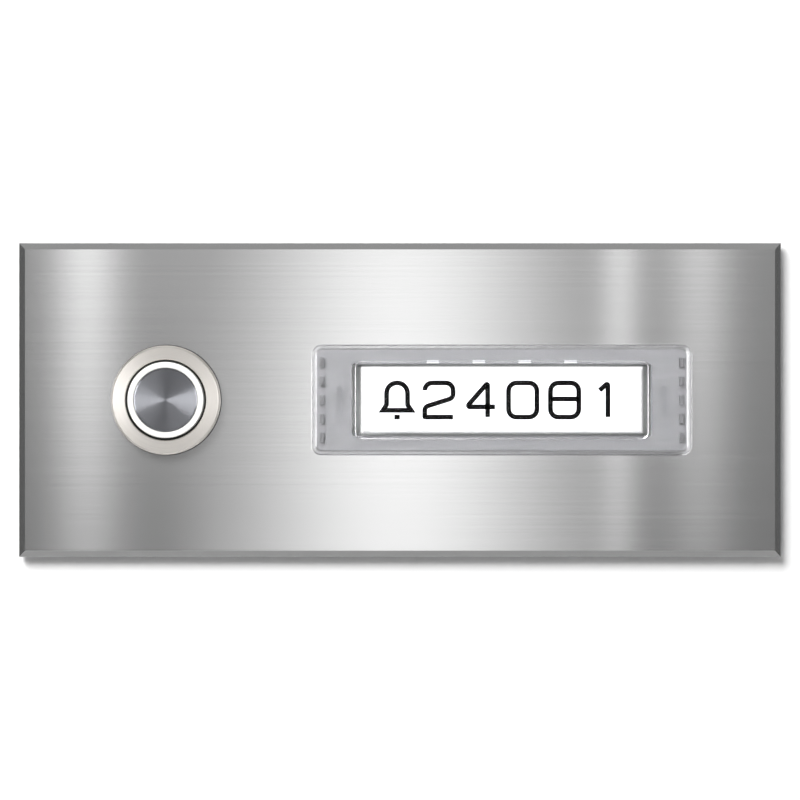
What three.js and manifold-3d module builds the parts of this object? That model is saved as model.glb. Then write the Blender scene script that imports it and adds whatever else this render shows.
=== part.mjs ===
// Door bell panel: a bevelled stainless plate with an illuminated push button and a name plate module.
// Millimetres. +X is right, +Z is up, and +Y goes into the wall. The origin is the middle of the plate's
// outline, on the wall's surface, where the rubber seal behind the plate rests.
import * as THREE from "three";
import { mergeVertices } from "three/addons/utils/BufferGeometryUtils.js";
import { ConvexGeometry } from "three/addons/geometries/ConvexGeometry.js";
import Module from "manifold-3d";

const wasm = await Module();
wasm.setup();

// ---------- driving dimensions ----------
const PLATE = { width: 170, height: 70, thick: 3, bevelWidth: 1.45, bevelDepth: 1.2 };
const SEAL = { width: 168, height: 68, innerWidth: 150, innerHeight: 50, thick: 1.5 };
const STUD = { pitchX: 140, pitchZ: 40, radius: 2, flangeRadius: 3, flangeThick: 0.8, tip: 20 };
const BUTTON_MARGIN = 20.8; // from the plate's left end to the button's head
const COVER_MARGIN = 20.2; // from the plate's right end to the name cover
const HEAD_RADIUS = 12.15;
const COVER = { width: 84.4, height: 24.6, corner: 2.2, wall: 0.85 };

const PLATE_BACK = -SEAL.thick;
const PLATE_FRONT = PLATE_BACK - PLATE.thick;
const BUTTON_X = -PLATE.width / 2 + BUTTON_MARGIN + HEAD_RADIUS;
const MODULE_X = PLATE.width / 2 - COVER_MARGIN - COVER.width / 2;

// Button: radii about its own axis, and depths along Y.
const BARREL = { radius: 10.9, bore: 8.7, rearBore: 9.4, shoulder: 3.6, rear: 16 };
const HEAD = { back: PLATE_FRONT - 0.6, front: PLATE_FRONT - 2.8, chamfer: 0.4, lip: 9.1 };
const CAP = { radius: 7.1, rim: HEAD.front - 0.1, dish: 0.25, thick: 1 };
const RING = { outer: 8.45, inner: 7.2, guide: 6.7, back: -3.4 };
const BRIDGE_TRAVEL = 1.2; // the contact bridge's travel at full press
const PLUNGER = {
  flangeFront: -3.3,
  flangeBack: -1.3,
  flange: 8.3,
  stem: 3,
  shoulder: 7.4,
  pin: 1.5,
  end: 13.2,
};
const BRIDGE = {
  front: 10,
  back: 10.6,
  rivetBack: 11.1,
  halfLength: 6.4,
  halfWidth: 2.5,
  rivetX: 4.6,
  rivet: 1.1,
};
const FRAME = {
  front: 5,
  floor: 6.2,
  back: 15.6,
  outer: 9.2,
  inner: 8,
  bossFront: 3.6,
  boss: 5.7,
  bore: 3.3,
};
const BLADE = { x: 6.1, thick: 0.5, halfWidth: 1.4, end: 26 };
const LED_PIN = { z: 6.65, halfWidth: 1, halfThick: 0.25 };

// Name plate module: sizes about its own middle, and depths along Y.
const BORDER = { front: -7.9, back: -6.9 };
const WINDOW = { front: -8.8, width: 62.6, height: 14.8, plateauWidth: 61.4, plateauHeight: 13.4 };
const CARD = { width: 62.2, height: 14.4, front: -6.75, back: -6.45 };
const DIFFUSER = { width: 61.8, height: 13.8, front: -6.3, back: -3.7 };
const HOLDER = { width: 77.4, height: 19, wall: 1.5, flangeWidth: 82.4, flangeHeight: 22.6, back: 8 };
const DECK = { front: -6, back: -5, openWidth: 66.4, openHeight: 16 };
const FINGER = { x: 36, halfLength: 3, halfThick: 0.55, tip: -2.6 };
const TOOTH = { fromEnd: 2.25, pitch: 4.17, halfWidth: 0.5, halfLength: 1.05, proud: 0.7 };
const PAD = { pitch: 10.2, halfLength: 1.4, low: 8.1, high: 8.9, proud: 0.6 };
const CAP_SCREW = { x: 35.6, z: -6.2 };
const CLIP_SCREW_Y = 5.2;
const BOARD = { width: 74.8, height: 16.4, front: 3, back: 4.2 };
const TERMINAL = { x: 20, width: 14.8, height: 7.6, back: 13.2, pitch: 3.5, poles: 4 };
const SOCKET = { x: -22, width: 12.4, height: 5.8, back: 11, pitch: 2.5 };

const BLADE_MIDDLE = BLADE.x + BLADE.thick / 2;
const CLEAR = 0.15; // running clearance between neighbours that are cut to each other
const ROUND = 48; // sides of a large visible circle
const SMALL = 16; // sides of a small circle

// ---------- materials ----------
const finish = (color, roughness, metalness) =>
  new THREE.MeshStandardMaterial({ color, roughness, metalness });
const MATERIAL = {
  plate: finish(0xb4b4b6, 0.32, 1),
  head: finish(0xcfc6bc, 0.28, 1),
  cap: finish(0x8f9096, 0.3, 1),
  fixing: finish(0xa9abad, 0.4, 1),
  spring: finish(0xb8babd, 0.3, 1),
  contact: finish(0xc9a25c, 0.35, 1),
  glow: finish(0xf4f5f0, 0.35, 0),
  clear: finish(0xb6b7bb, 0.25, 0),
  holder: finish(0xa4a6aa, 0.45, 0),
  opal: finish(0xf1f2f2, 0.4, 0),
  card: finish(0xfafafc, 0.6, 0),
  rubber: finish(0x1b1b1c, 0.8, 0),
  moulding: finish(0x202123, 0.5, 0),
  board: finish(0xe6e8e4, 0.45, 0),
  led: finish(0xf3e9b0, 0.3, 0),
  terminal: finish(0x2f6b46, 0.45, 0),
  connector: finish(0xe9e5d6, 0.45, 0),
};

// ---------- shape helpers ----------

// A closed three.js geometry as a manifold solid, turned the right way out.
function solid(geometry) {
  const bare = geometry.index ? geometry.toNonIndexed() : geometry.clone();
  bare.deleteAttribute("normal");
  bare.deleteAttribute("uv");
  const merged = mergeVertices(bare, 1e-4);
  const corners = merged.index.array;
  const kept = [];
  for (let i = 0; i < corners.length; i += 3) {
    const [a, b, c] = [corners[i], corners[i + 1], corners[i + 2]];
    if (a !== b && b !== c && c !== a) kept.push([a, b, c]);
  }
  const build = (triangles) =>
    new wasm.Manifold(
      new wasm.Mesh({
        numProp: 3,
        vertProperties: merged.attributes.position.array,
        triVerts: new Uint32Array(triangles.flat()),
      }),
    );
  const made = build(kept);
  return made.volume() < 0 ? build(kept.map(([a, b, c]) => [c, b, a])) : made;
}

const join = (first, ...rest) => rest.reduce((whole, part) => whole.add(part), first);
const cut = (whole, ...tools) => tools.reduce((left, tool) => left.subtract(tool), whole);

// A box between two corners.
function box(x0, x1, y0, y1, z0, z1) {
  const geometry = new THREE.BoxGeometry(x1 - x0, y1 - y0, z1 - z0);
  return solid(geometry.translate((x0 + x1) / 2, (y0 + y1) / 2, (z0 + z1) / 2));
}

// A shape drawn in X and Z, extruded along Y.
function alongY(shape, y0, y1, curveSegments = 8) {
  const geometry = new THREE.ExtrudeGeometry(shape, { depth: y1 - y0, bevelEnabled: false, curveSegments });
  return solid(geometry.rotateX(Math.PI / 2).translate(0, y1, 0));
}

// A rectangle with rounded corners, centred on x, z.
function roundedRectangle(width, height, corner, x = 0, z = 0) {
  const [w, h, r] = [width / 2, height / 2, corner];
  const shape = new THREE.Shape();
  shape.absarc(x + w - r, z + h - r, r, 0, Math.PI / 2);
  shape.absarc(x - w + r, z + h - r, r, Math.PI / 2, Math.PI);
  shape.absarc(x - w + r, z - h + r, r, Math.PI, 1.5 * Math.PI);
  shape.absarc(x + w - r, z - h + r, r, 1.5 * Math.PI, 2 * Math.PI);
  return shape;
}

const slab = (width, height, corner, y0, y1, x = 0, z = 0) =>
  alongY(roundedRectangle(width, height, corner, x, z), y0, y1, 4);

// A profile of [radius, depth] points turned about the Y axis. A ring's profile closes on itself.
function turned(profile, sides = ROUND) {
  const points = profile.map(([radius, depth]) => new THREE.Vector2(radius, depth));
  return solid(new THREE.LatheGeometry(points, sides));
}

const ring = (inner, outer, y0, y1, sides = ROUND) =>
  turned([[inner, y0], [outer, y0], [outer, y1], [inner, y1], [inner, y0]], sides);

const rod = (radius, y0, y1, sides = SMALL) =>
  turned([[0, y0], [radius, y0], [radius, y1], [0, y1]], sides);

// A six-sided nut's body, by its width across flats.
function hexagon(acrossFlats, y0, y1) {
  const corner = acrossFlats / Math.sqrt(3);
  const points = [0, 1, 2, 3, 4, 5].map((i) => {
    const angle = (i * Math.PI) / 3;
    return new THREE.Vector2(corner * Math.cos(angle), corner * Math.sin(angle));
  });
  return alongY(new THREE.Shape(points), y0, y1);
}

// A rectangular block whose front is smaller than its back, as a bevelled plate or a window block is.
function tapered(width, height, frontWidth, frontHeight, front, shoulder, back) {
  const points = [];
  const corners = [[-1, -1], [1, -1], [1, 1], [-1, 1]];
  for (const [x, z] of corners) {
    points.push(new THREE.Vector3((x * frontWidth) / 2, front, (z * frontHeight) / 2));
    points.push(new THREE.Vector3((x * width) / 2, shoulder, (z * height) / 2));
    points.push(new THREE.Vector3((x * width) / 2, back, (z * height) / 2));
  }
  return solid(new ConvexGeometry(points));
}

// A round wire along a curve.
function wireAlong(curve, radius, steps, sides) {
  const section = Array.from({ length: sides }, (_, i) => {
    const angle = (2 * Math.PI * i) / sides;
    return new THREE.Vector2(radius * Math.cos(angle), radius * Math.sin(angle));
  });
  const options = { extrudePath: curve, steps, bevelEnabled: false };
  return solid(new THREE.ExtrudeGeometry(new THREE.Shape(section), options));
}

class Helix extends THREE.Curve {
  constructor(radius, y0, y1, turns) {
    super();
    Object.assign(this, { radius, y0, y1, turns });
  }

  getPoint(t) {
    const angle = 2 * Math.PI * this.turns * t;
    const depth = this.y0 + (this.y1 - this.y0) * t;
    return new THREE.Vector3(this.radius * Math.cos(angle), depth, this.radius * Math.sin(angle));
  }
}

// A coil spring between two depths, as its wire lies.
const spring = (meanRadius, wire, y0, y1, turns, stepsPerTurn = 12) =>
  wireAlong(new Helix(meanRadius, y0 + wire, y1 - wire, turns), wire, Math.round(turns * stepsPerTurn), 5);

// Adds a solid to a group as a named mesh, at an optional place.
function place(group, name, made, material, x = 0, y = 0, z = 0) {
  const { vertProperties, triVerts } = made.getMesh();
  const geometry = new THREE.BufferGeometry();
  geometry.setAttribute("position", new THREE.BufferAttribute(vertProperties, 3));
  geometry.setIndex(new THREE.BufferAttribute(triVerts, 1));
  geometry.computeVertexNormals();
  const mesh = new THREE.Mesh(geometry, material);
  mesh.name = name;
  mesh.position.set(x, y, z);
  group.add(mesh);
}

// ---------- plate, seal and studs ----------

function frontPlate() {
  const [y0, y1] = [PLATE_FRONT - 1, PLATE_BACK + 1];
  const hole = rod(BARREL.radius + 0.3, y0, y1, ROUND).translate([BUTTON_X, 0, 0]);
  const slot = slab(HOLDER.width + 0.6, HOLDER.height + 0.6, 1.5, y0, y1, MODULE_X);
  const blank = tapered(
    PLATE.width,
    PLATE.height,
    PLATE.width - 2 * PLATE.bevelWidth,
    PLATE.height - 2 * PLATE.bevelWidth,
    PLATE_FRONT,
    PLATE_FRONT + PLATE.bevelDepth,
    PLATE_BACK,
  );
  return cut(blank, hole, slot);
}

function wallSeal() {
  const outer = slab(SEAL.width, SEAL.height, 1, PLATE_BACK, 0);
  return cut(outer, slab(SEAL.innerWidth, SEAL.innerHeight, 3, PLATE_BACK - 1, 1));
}

function wallStud() {
  const neck = PLATE_BACK + STUD.flangeThick;
  const chamfer = 0.6;
  return turned(
    [
      [0, PLATE_BACK],
      [STUD.flangeRadius, PLATE_BACK],
      [STUD.flangeRadius, neck],
      [STUD.radius, neck],
      [STUD.radius, STUD.tip - chamfer],
      [STUD.radius - chamfer, STUD.tip],
      [0, STUD.tip],
    ],
    12,
  );
}

// ---------- push button ----------

function buttonHousing() {
  const { radius, bore, rearBore, shoulder, rear } = BARREL;
  const { back, front, chamfer, lip } = HEAD;
  return turned([
    [lip, front],
    [HEAD_RADIUS - chamfer, front + 0.15],
    [HEAD_RADIUS, front + 0.15 + chamfer],
    [HEAD_RADIUS, back],
    [radius, back],
    [radius, rear - 0.5],
    [radius - 0.5, rear],
    [rearBore, rear],
    [rearBore, shoulder],
    [bore, shoulder],
    [bore, front + 0.4],
    [lip, front],
  ]);
}

// An external tooth washer: a flat ring with a row of notches round its rim.
function lockWasher() {
  const [y0, y1] = [PLATE_BACK, PLATE_BACK + 1];
  const notches = Array.from({ length: 18 }, (_, i) =>
    box(13.3, 15.5, y0 - 1, y1 + 1, -0.7, 0.7).rotate([0, (i * 360) / 18, 0]),
  );
  return cut(ring(BARREL.radius + CLEAR, 14.4, y0, y1, 36), ...notches);
}

function panelNut() {
  const [y0, y1] = [PLATE_BACK + 1, PLATE_BACK + 5];
  const bore = rod(BARREL.radius + CLEAR, y0 - 1, y1 + 1, 48);
  const crown = turned([[0, y0], [15.6, y0], [15.6, y1 - 0.8], [14, y1], [0, y1]], 48);
  return cut(hexagon(27, y0, y1).intersect(crown), bore);
}

function pushCap() {
  const { radius, rim, dish, thick } = CAP;
  const back = rim + thick;
  const skirtBack = back + 2;
  return turned([
    [0, rim + dish],
    [radius - 0.3, rim],
    [radius, rim + 0.15],
    [radius, back],
    [6.4, back],
    [6.4, skirtBack],
    [5.6, skirtBack],
    [5.6, back],
    [0, back],
  ]);
}

function lightRing() {
  const { outer, inner, guide, back } = RING;
  const seat = CAP.rim + CAP.thick + 0.1;
  return turned([
    [inner, CAP.rim],
    [outer - 0.15, CAP.rim],
    [outer, CAP.rim + 0.15],
    [outer, back],
    [guide, back],
    [guide, seat],
    [inner, seat],
    [inner, CAP.rim],
  ]);
}

function plunger() {
  const { flangeFront, flangeBack, flange, stem, shoulder, pin, end } = PLUNGER;
  const groove = { front: flangeFront + 0.4, back: flangeBack - 0.4, radius: 7.4 };
  const clip = { front: BRIDGE.back + 0.15, back: BRIDGE.back + 0.85, radius: 1.2 };
  return turned(
    [
      [0, -6.2],
      [5.4, -6.2],
      [5.4, flangeFront],
      [flange, flangeFront],
      [flange, groove.front],
      [groove.radius, groove.front],
      [groove.radius, groove.back],
      [flange, groove.back],
      [flange, flangeBack],
      [stem, flangeBack],
      [stem, shoulder],
      [pin, shoulder],
      [pin, clip.front],
      [clip.radius, clip.front],
      [clip.radius, clip.back],
      [pin, clip.back],
      [pin, end],
      [0, end],
    ],
    24,
  );
}

function plungerSeal() {
  const middle = { radius: 8.03, depth: (PLUNGER.flangeFront + PLUNGER.flangeBack) / 2 };
  const section = 0.55;
  const profile = Array.from({ length: 7 }, (_, i) => {
    const angle = (i * Math.PI) / 3;
    return [middle.radius + section * Math.cos(angle), middle.depth + section * Math.sin(angle)];
  });
  return turned(profile, 24);
}

// An E-clip: a washer with a mouth.
function retainingClip() {
  const [y0, y1] = [BRIDGE.back + 0.2, BRIDGE.back + 0.8];
  return cut(ring(1.3, 2.6, y0, y1, SMALL), box(0.2, 3, y0 - 1, y1 + 1, -0.9, 0.9));
}

function switchFrame() {
  const { front, floor, back, outer, inner, bossFront, boss, bore } = FRAME;
  const shell = turned(
    [
      [bore, bossFront],
      [boss, bossFront],
      [boss, front],
      [outer, front],
      [outer, back],
      [inner, back],
      [inner, floor],
      [bore, floor],
      [bore, bossFront],
    ],
    32,
  );
  return cut(shell, ...ledPinSlots(front - 1, floor + 1));
}

// The slots that the ring light's two pins pass through.
function ledPinSlots(y0, y1) {
  const { z, halfWidth, halfThick } = LED_PIN;
  const [x, gap] = [halfWidth + CLEAR, halfThick + CLEAR];
  return [-z, z].map((middle) => box(-x, x, y0, y1, middle - gap, middle + gap));
}

function terminalBase() {
  const [y0, y1] = [FRAME.back + 0.1, FRAME.back + 4.1];
  const rim = FRAME.outer;
  const disc = turned([[0, y0], [rim, y0], [rim, y1 - 0.8], [rim - 0.8, y1], [0, y1]], 32);
  const [gap, halfWidth] = [BLADE.thick / 2 + CLEAR, BLADE.halfWidth + CLEAR];
  const bladeSlots = [-BLADE_MIDDLE, BLADE_MIDDLE].map((x) =>
    box(x - gap, x + gap, y0 - 1, y1 + 1, -halfWidth, halfWidth),
  );
  return cut(disc, ...bladeSlots, ...ledPinSlots(y0 - 1, y1 + 1));
}

// A blade with a bent pad that carries a contact rivet. Side is 1 or -1.
function fixedContact(side) {
  const face = BRIDGE.rivetBack + BRIDGE_TRAVEL + 0.1;
  const [pad, tail] = [face + 0.5, face + 1];
  const spanX = (a, b) => (side > 0 ? [a, b] : [-b, -a]);
  const [outside, half] = [BLADE.x + BLADE.thick, BLADE.halfWidth];
  const arm = box(...spanX(3.2, outside), pad, tail, -half, half);
  const leg = box(...spanX(BLADE.x, outside), pad, BLADE.end, -half, half);
  const hole = rod(0.6, -2, 2, 12).rotate([0, 0, 90]).translate([side * 6.4, BLADE.end - 2, 0]);
  const rivet = rod(BRIDGE.rivet, face, pad + 0.1, 16).translate([side * BRIDGE.rivetX, 0, 0]);
  return cut(join(arm, leg, rivet), hole);
}

function contactBridge() {
  const { front, back, rivetBack, halfLength, halfWidth, rivetX, rivet } = BRIDGE;
  const blank = box(-halfLength, halfLength, front, back, -halfWidth, halfWidth);
  const strip = cut(blank, rod(1.7, front - 1, back + 1));
  const rivets = [-rivetX, rivetX].map((x) => rod(rivet, back - 0.1, rivetBack, 16).translate([x, 0, 0]));
  return join(strip, ...rivets);
}

function ringLedBoard() {
  return ring(FRAME.boss + 0.1, 9.2, FRAME.front - 1, FRAME.front - 0.05, 32);
}

function buttonAssembly() {
  const button = new THREE.Group();
  button.position.x = BUTTON_X;
  const headSeal = ring(BARREL.radius + 0.25, HEAD_RADIUS + 0.15, HEAD.back, PLATE_FRONT, ROUND);
  place(button, "head_seal", headSeal, MATERIAL.rubber);
  place(button, "button_housing", buttonHousing(), MATERIAL.head);
  place(button, "lock_washer", lockWasher(), MATERIAL.fixing);
  place(button, "panel_nut", panelNut(), MATERIAL.fixing);
  place(button, "push_cap", pushCap(), MATERIAL.cap);
  place(button, "light_ring", lightRing(), MATERIAL.glow);
  place(button, "plunger", plunger(), MATERIAL.opal);
  place(button, "plunger_seal", plungerSeal(), MATERIAL.rubber);
  place(button, "retaining_clip", retainingClip(), MATERIAL.spring);
  const returnSpring = spring(4.7, 0.3, PLUNGER.flangeBack, FRAME.bossFront, 3.5);
  place(button, "return_spring", returnSpring, MATERIAL.spring);
  const contactSpring = spring(2.1, 0.17, PLUNGER.shoulder, BRIDGE.front, 3);
  place(button, "contact_spring", contactSpring, MATERIAL.spring);
  place(button, "contact_bridge", contactBridge(), MATERIAL.contact);
  place(button, "switch_frame", switchFrame(), MATERIAL.moulding);
  place(button, "terminal_base", terminalBase(), MATERIAL.moulding);
  place(button, "fixed_contact_left", fixedContact(-1), MATERIAL.contact);
  place(button, "fixed_contact_right", fixedContact(1), MATERIAL.contact);
  const { z: pinZ, halfWidth, halfThick } = LED_PIN;
  const ledPin = box(-halfWidth, halfWidth, FRAME.front, BLADE.end, -halfThick, halfThick);
  place(button, "led_pin_top", ledPin, MATERIAL.contact, 0, 0, pinZ);
  place(button, "led_pin_bottom", ledPin, MATERIAL.contact, 0, 0, -pinZ);
  place(button, "ring_led_board", ringLedBoard(), MATERIAL.board);
  const boardFront = FRAME.front - 1;
  const diagonal = 7.2 * Math.SQRT1_2;
  const led = box(-0.9, 0.9, boardFront - 0.8, boardFront, -0.9, 0.9);
  [[1, 1], [-1, 1], [-1, -1], [1, -1]].forEach(([x, z], i) =>
    place(button, `ring_led_${i + 1}`, led, MATERIAL.led, x * diagonal, 0, z * diagonal),
  );
  return button;
}

// ---------- name plate module ----------

function nameCover() {
  const skirtBack = PLATE_FRONT - 0.2;
  const outer = slab(COVER.width, COVER.height, COVER.corner, BORDER.front + 0.8, skirtBack);
  // The rim's bevel is three steps of a shrinking outline.
  const rim = [0.25, 0.55, 0.95].map((inset, i) =>
    slab(
      COVER.width - 2 * inset,
      COVER.height - 2 * inset,
      COVER.corner - inset,
      BORDER.front + [0.5, 0.2, 0][i],
      BORDER.front + 1,
    ),
  );
  const cavity = slab(
    COVER.width - 2 * COVER.wall,
    COVER.height - 2 * COVER.wall,
    COVER.corner - COVER.wall,
    BORDER.back,
    PLATE_FRONT + 1,
  );
  const window = tapered(
    WINDOW.width,
    WINDOW.height,
    WINDOW.plateauWidth,
    WINDOW.plateauHeight,
    WINDOW.front,
    BORDER.front,
    BORDER.back,
  );
  const { x: fingerX, halfLength, halfThick, tip } = FINGER;
  const fingers = [-fingerX, fingerX].map((x) =>
    box(x - halfThick, x + halfThick, BORDER.back - 0.1, tip, -halfLength, halfLength),
  );
  return join(cut(join(outer, ...rim), cavity), window, ...fingers);
}

function nameHolder() {
  const { width, height, wall, flangeWidth, flangeHeight, back } = HOLDER;
  const deck = slab(flangeWidth, flangeHeight, 1.5, DECK.front, DECK.back);
  const body = slab(width, height, 1, DECK.back - 0.1, back);
  const inside = slab(width - 2 * wall, height - 2 * wall, 0.6, DECK.back, back + 1);
  const cardOpening = slab(DECK.openWidth, DECK.openHeight, 0.6, DECK.front - 1, back + 1);
  const seat = slab(BOARD.width + 0.2, BOARD.height + 0.2, 0.6, BOARD.front, back + 1);
  const [slotX, slotZ] = [FINGER.halfThick + 0.3, FINGER.halfLength + 0.3];
  const fingerSlots = [-FINGER.x, FINGER.x].map((x) =>
    box(x - slotX, x + slotX, DECK.front - 1, DECK.back + 1, -slotZ, slotZ),
  );
  // Ledges under the diffuser, at its four corners.
  const ledges = [-1, 1].flatMap((x) =>
    [-1, 1].map((z) => box(x * 29 - 2, x * 29 + 2, -3.6, -2.4, z > 0 ? 6.3 : -8.2, z > 0 ? 8.2 : -6.3)),
  );
  // Five teeth stand on the flange at each end, and four latch pads along its top.
  const teethX = COVER.width / 2 - TOOTH.fromEnd;
  const rootY = DECK.front + 0.1;
  const [toothFront, padFront] = [DECK.front - TOOTH.proud, DECK.front - PAD.proud];
  const teeth = [-teethX, teethX].flatMap((x) =>
    [-2, -1, 0, 1, 2].map((row) => {
      const [z, half, length] = [row * TOOTH.pitch, TOOTH.halfWidth, TOOTH.halfLength];
      return box(x - half, x + half, toothFront, rootY, z - length, z + length);
    }),
  );
  const pads = [-1.5, -0.5, 0.5, 1.5].map((step) => {
    const x = step * PAD.pitch;
    return box(x - PAD.halfLength, x + PAD.halfLength, padFront, rootY, PAD.low, PAD.high);
  });
  const { x: screwX, z: screwZ } = CAP_SCREW;
  const bosses = [-screwX, screwX].map((x) => box(x - 1.9, x + 1.9, -1.6, BOARD.front, -8.2, -4.6));
  const screwHoles = [-screwX, screwX].map((x) => rod(0.9, -1, back + 1, 16).translate([x, 0, screwZ]));
  const clipHoles = [-width / 2, width / 2].map((x) =>
    rod(0.9, -3, 3, 16).rotate([0, 0, 90]).translate([x, CLIP_SCREW_Y, 0]),
  );
  const shell = cut(join(deck, body), inside, cardOpening, seat, ...fingerSlots);
  return cut(join(shell, ...ledges, ...teeth, ...pads, ...bosses), ...screwHoles, ...clipHoles);
}

function holderSeal() {
  const { width, height, flangeWidth, flangeHeight } = HOLDER;
  const outer = slab(flangeWidth - 0.4, flangeHeight - 0.4, 1.3, DECK.back, PLATE_FRONT);
  return cut(outer, slab(width + 0.8, height + 0.8, 1.2, DECK.back - 1, PLATE_FRONT + 1));
}

function backCap() {
  const { width, height, back } = HOLDER;
  const plate = slab(width, height, 1, back, back + 1.4);
  const lipBlank = slab(BOARD.width - 0.2, BOARD.height - 0.2, 0.5, BOARD.back + 0.6, back + 0.1);
  const lip = cut(lipBlank, slab(BOARD.width - 2.4, BOARD.height - 2.4, 0.5, BOARD.back, back + 2));
  const room = (part, gap = 0.4) =>
    slab(part.width + 2 * gap, part.height + 2 * gap, 0.4, BOARD.back - 1, back + 3, part.x);
  const screwHoles = [-CAP_SCREW.x, CAP_SCREW.x].map((x) =>
    rod(1.2, 0, back + 3, 16).translate([x, 0, CAP_SCREW.z]),
  );
  return cut(join(plate, lip), room(TERMINAL), room(SOCKET), ...screwHoles);
}

// A pan-head screw along Y, head towards the rear.
function capScrew() {
  const headFront = HOLDER.back + 1.45;
  const body = turned(
    [
      [0, 0.5],
      [0.8, 1.2],
      [0.8, headFront],
      [1.9, headFront],
      [1.9, headFront + 0.9],
      [1.4, headFront + 1.3],
      [0, headFront + 1.3],
    ],
    16,
  );
  return cut(body, box(-1.6, 1.6, headFront + 0.8, headFront + 2, -0.22, 0.22));
}

// A bent stainless strip that pulls the holder against the plate's back. Side is 1 or -1.
function holderClip(side) {
  const wall = HOLDER.width / 2 + 0.3;
  const spanX = (a, b) => (side > 0 ? [a, b] : [-b, -a]);
  const foot = box(...spanX(wall, wall + 5), PLATE_BACK, PLATE_BACK + 0.6, -4, 4);
  const leg = box(...spanX(wall, wall + 0.6), PLATE_BACK, 7.4, -4, 4);
  const hole = rod(1.15, -3, 3, 16).rotate([0, 0, 90]).translate([side * wall, CLIP_SCREW_Y, 0]);
  return cut(join(foot, leg), hole);
}

function clipScrew(side) {
  const face = HOLDER.width / 2 + 0.95;
  const profile = [[0, -2.3], [0.75, -1.9], [0.75, 0], [1.9, 0], [1.9, 0.8], [1.4, 1.2], [0, 1.2]];
  const slotted = cut(turned(profile, 16), box(-1.6, 1.6, 0.7, 2, -0.22, 0.22));
  const turn = side > 0 ? -90 : 90;
  return slotted.rotate([0, 0, turn]).translate([side * face, CLIP_SCREW_Y, 0]);
}

function terminalBlock() {
  const { width, height, back, pitch, poles, x } = TERMINAL;
  const body = box(x - width / 2, x + width / 2, BOARD.back, back, -height / 2, height / 2);
  const holes = Array.from({ length: poles }, (_, i) => {
    const centre = x + (i - (poles - 1) / 2) * pitch;
    const entry = box(centre - 1.2, centre + 1.2, 7, 9.6, -height / 2 - 1, 0);
    const screwWell = rod(1.5, 7.5, back + 1, 16).translate([centre, 0, 0]);
    return join(entry, screwWell);
  });
  return cut(body, ...holes);
}

function terminalScrew() {
  const head = TERMINAL.back - 0.5;
  return cut(rod(1.3, 9.8, head, 16), box(-1.6, 1.6, head - 0.6, head + 1, -0.2, 0.2));
}

function leadSocket() {
  const { width, height, back, x } = SOCKET;
  const body = box(x - width / 2, x + width / 2, BOARD.back, back, -height / 2, height / 2);
  const [halfWidth, halfHeight] = [width / 2 - 0.8, height / 2 - 0.8];
  const well = box(x - halfWidth, x + halfWidth, BOARD.back + 1, back + 1, -halfHeight, halfHeight);
  return cut(body, well);
}

function leadPlug() {
  const { width, height, back, x, pitch } = SOCKET;
  const [halfWidth, halfHeight] = [width / 2 - 1, height / 2 - 1];
  const body = box(x - halfWidth, x + halfWidth, BOARD.back + 1.3, back + 3, -halfHeight, halfHeight);
  const bores = [-1.5, -0.5, 0.5, 1.5].map((step) =>
    rod(0.85, back + 1, back + 4, 12).translate([x + step * pitch, 0, 0]),
  );
  return cut(body, ...bores);
}

function nameModule() {
  const module = new THREE.Group();
  module.position.x = MODULE_X;
  place(module, "name_cover", nameCover(), MATERIAL.clear);
  const card = slab(CARD.width, CARD.height, 0.3, CARD.front, CARD.back);
  place(module, "name_card", card, MATERIAL.card);
  const diffuser = slab(DIFFUSER.width, DIFFUSER.height, 0.4, DIFFUSER.front, DIFFUSER.back);
  place(module, "card_diffuser", diffuser, MATERIAL.opal);
  place(module, "name_holder", nameHolder(), MATERIAL.holder);
  place(module, "holder_seal", holderSeal(), MATERIAL.rubber);
  const { x: screwX, z: screwZ } = CAP_SCREW;
  const board = cut(
    slab(BOARD.width, BOARD.height, 0.5, BOARD.front + 0.05, BOARD.back),
    ...[-screwX, screwX].map((x) => rod(1.1, 0, 9, 16).translate([x, 0, screwZ])),
  );
  place(module, "backlight_board", board, MATERIAL.board);
  const led = box(-1.75, 1.75, BOARD.front - 1.3, BOARD.front, -1.4, 1.4);
  [-24, -8, 8, 24].forEach((x, i) => {
    place(module, `backlight_led_${i + 1}`, led, MATERIAL.led, x);
  });
  const resistor = box(-1.6, 1.6, BOARD.back + 0.05, BOARD.back + 0.65, -0.8, 0.8);
  place(module, "led_resistor", resistor, MATERIAL.moulding, -2, 0, 4);
  place(module, "holder_back_cap", backCap(), MATERIAL.holder);
  place(module, "cap_screw_left", capScrew(), MATERIAL.fixing, -screwX, 0, screwZ);
  place(module, "cap_screw_right", capScrew(), MATERIAL.fixing, screwX, 0, screwZ);
  place(module, "holder_clip_left", holderClip(-1), MATERIAL.spring);
  place(module, "holder_clip_right", holderClip(1), MATERIAL.spring);
  place(module, "clip_screw_left", clipScrew(-1), MATERIAL.fixing);
  place(module, "clip_screw_right", clipScrew(1), MATERIAL.fixing);
  place(module, "terminal_block", terminalBlock(), MATERIAL.terminal);
  for (let i = 0; i < TERMINAL.poles; i++) {
    const x = TERMINAL.x + (i - (TERMINAL.poles - 1) / 2) * TERMINAL.pitch;
    place(module, `terminal_screw_${i + 1}`, terminalScrew(), MATERIAL.fixing, x);
  }
  place(module, "lead_socket", leadSocket(), MATERIAL.connector);
  place(module, "lead_plug", leadPlug(), MATERIAL.connector);
  return module;
}

// ---------- lead between the button and the module's board ----------
// Four wires leave the button's blades and pins, run together through one tie, and enter the plug.
const WIRE_RADIUS = 0.65;
const TIE_X = -25;
const BUTTON_END = BLADE.end + 0.4;
const PLUG_END = SOCKET.back + 1.3;

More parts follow.
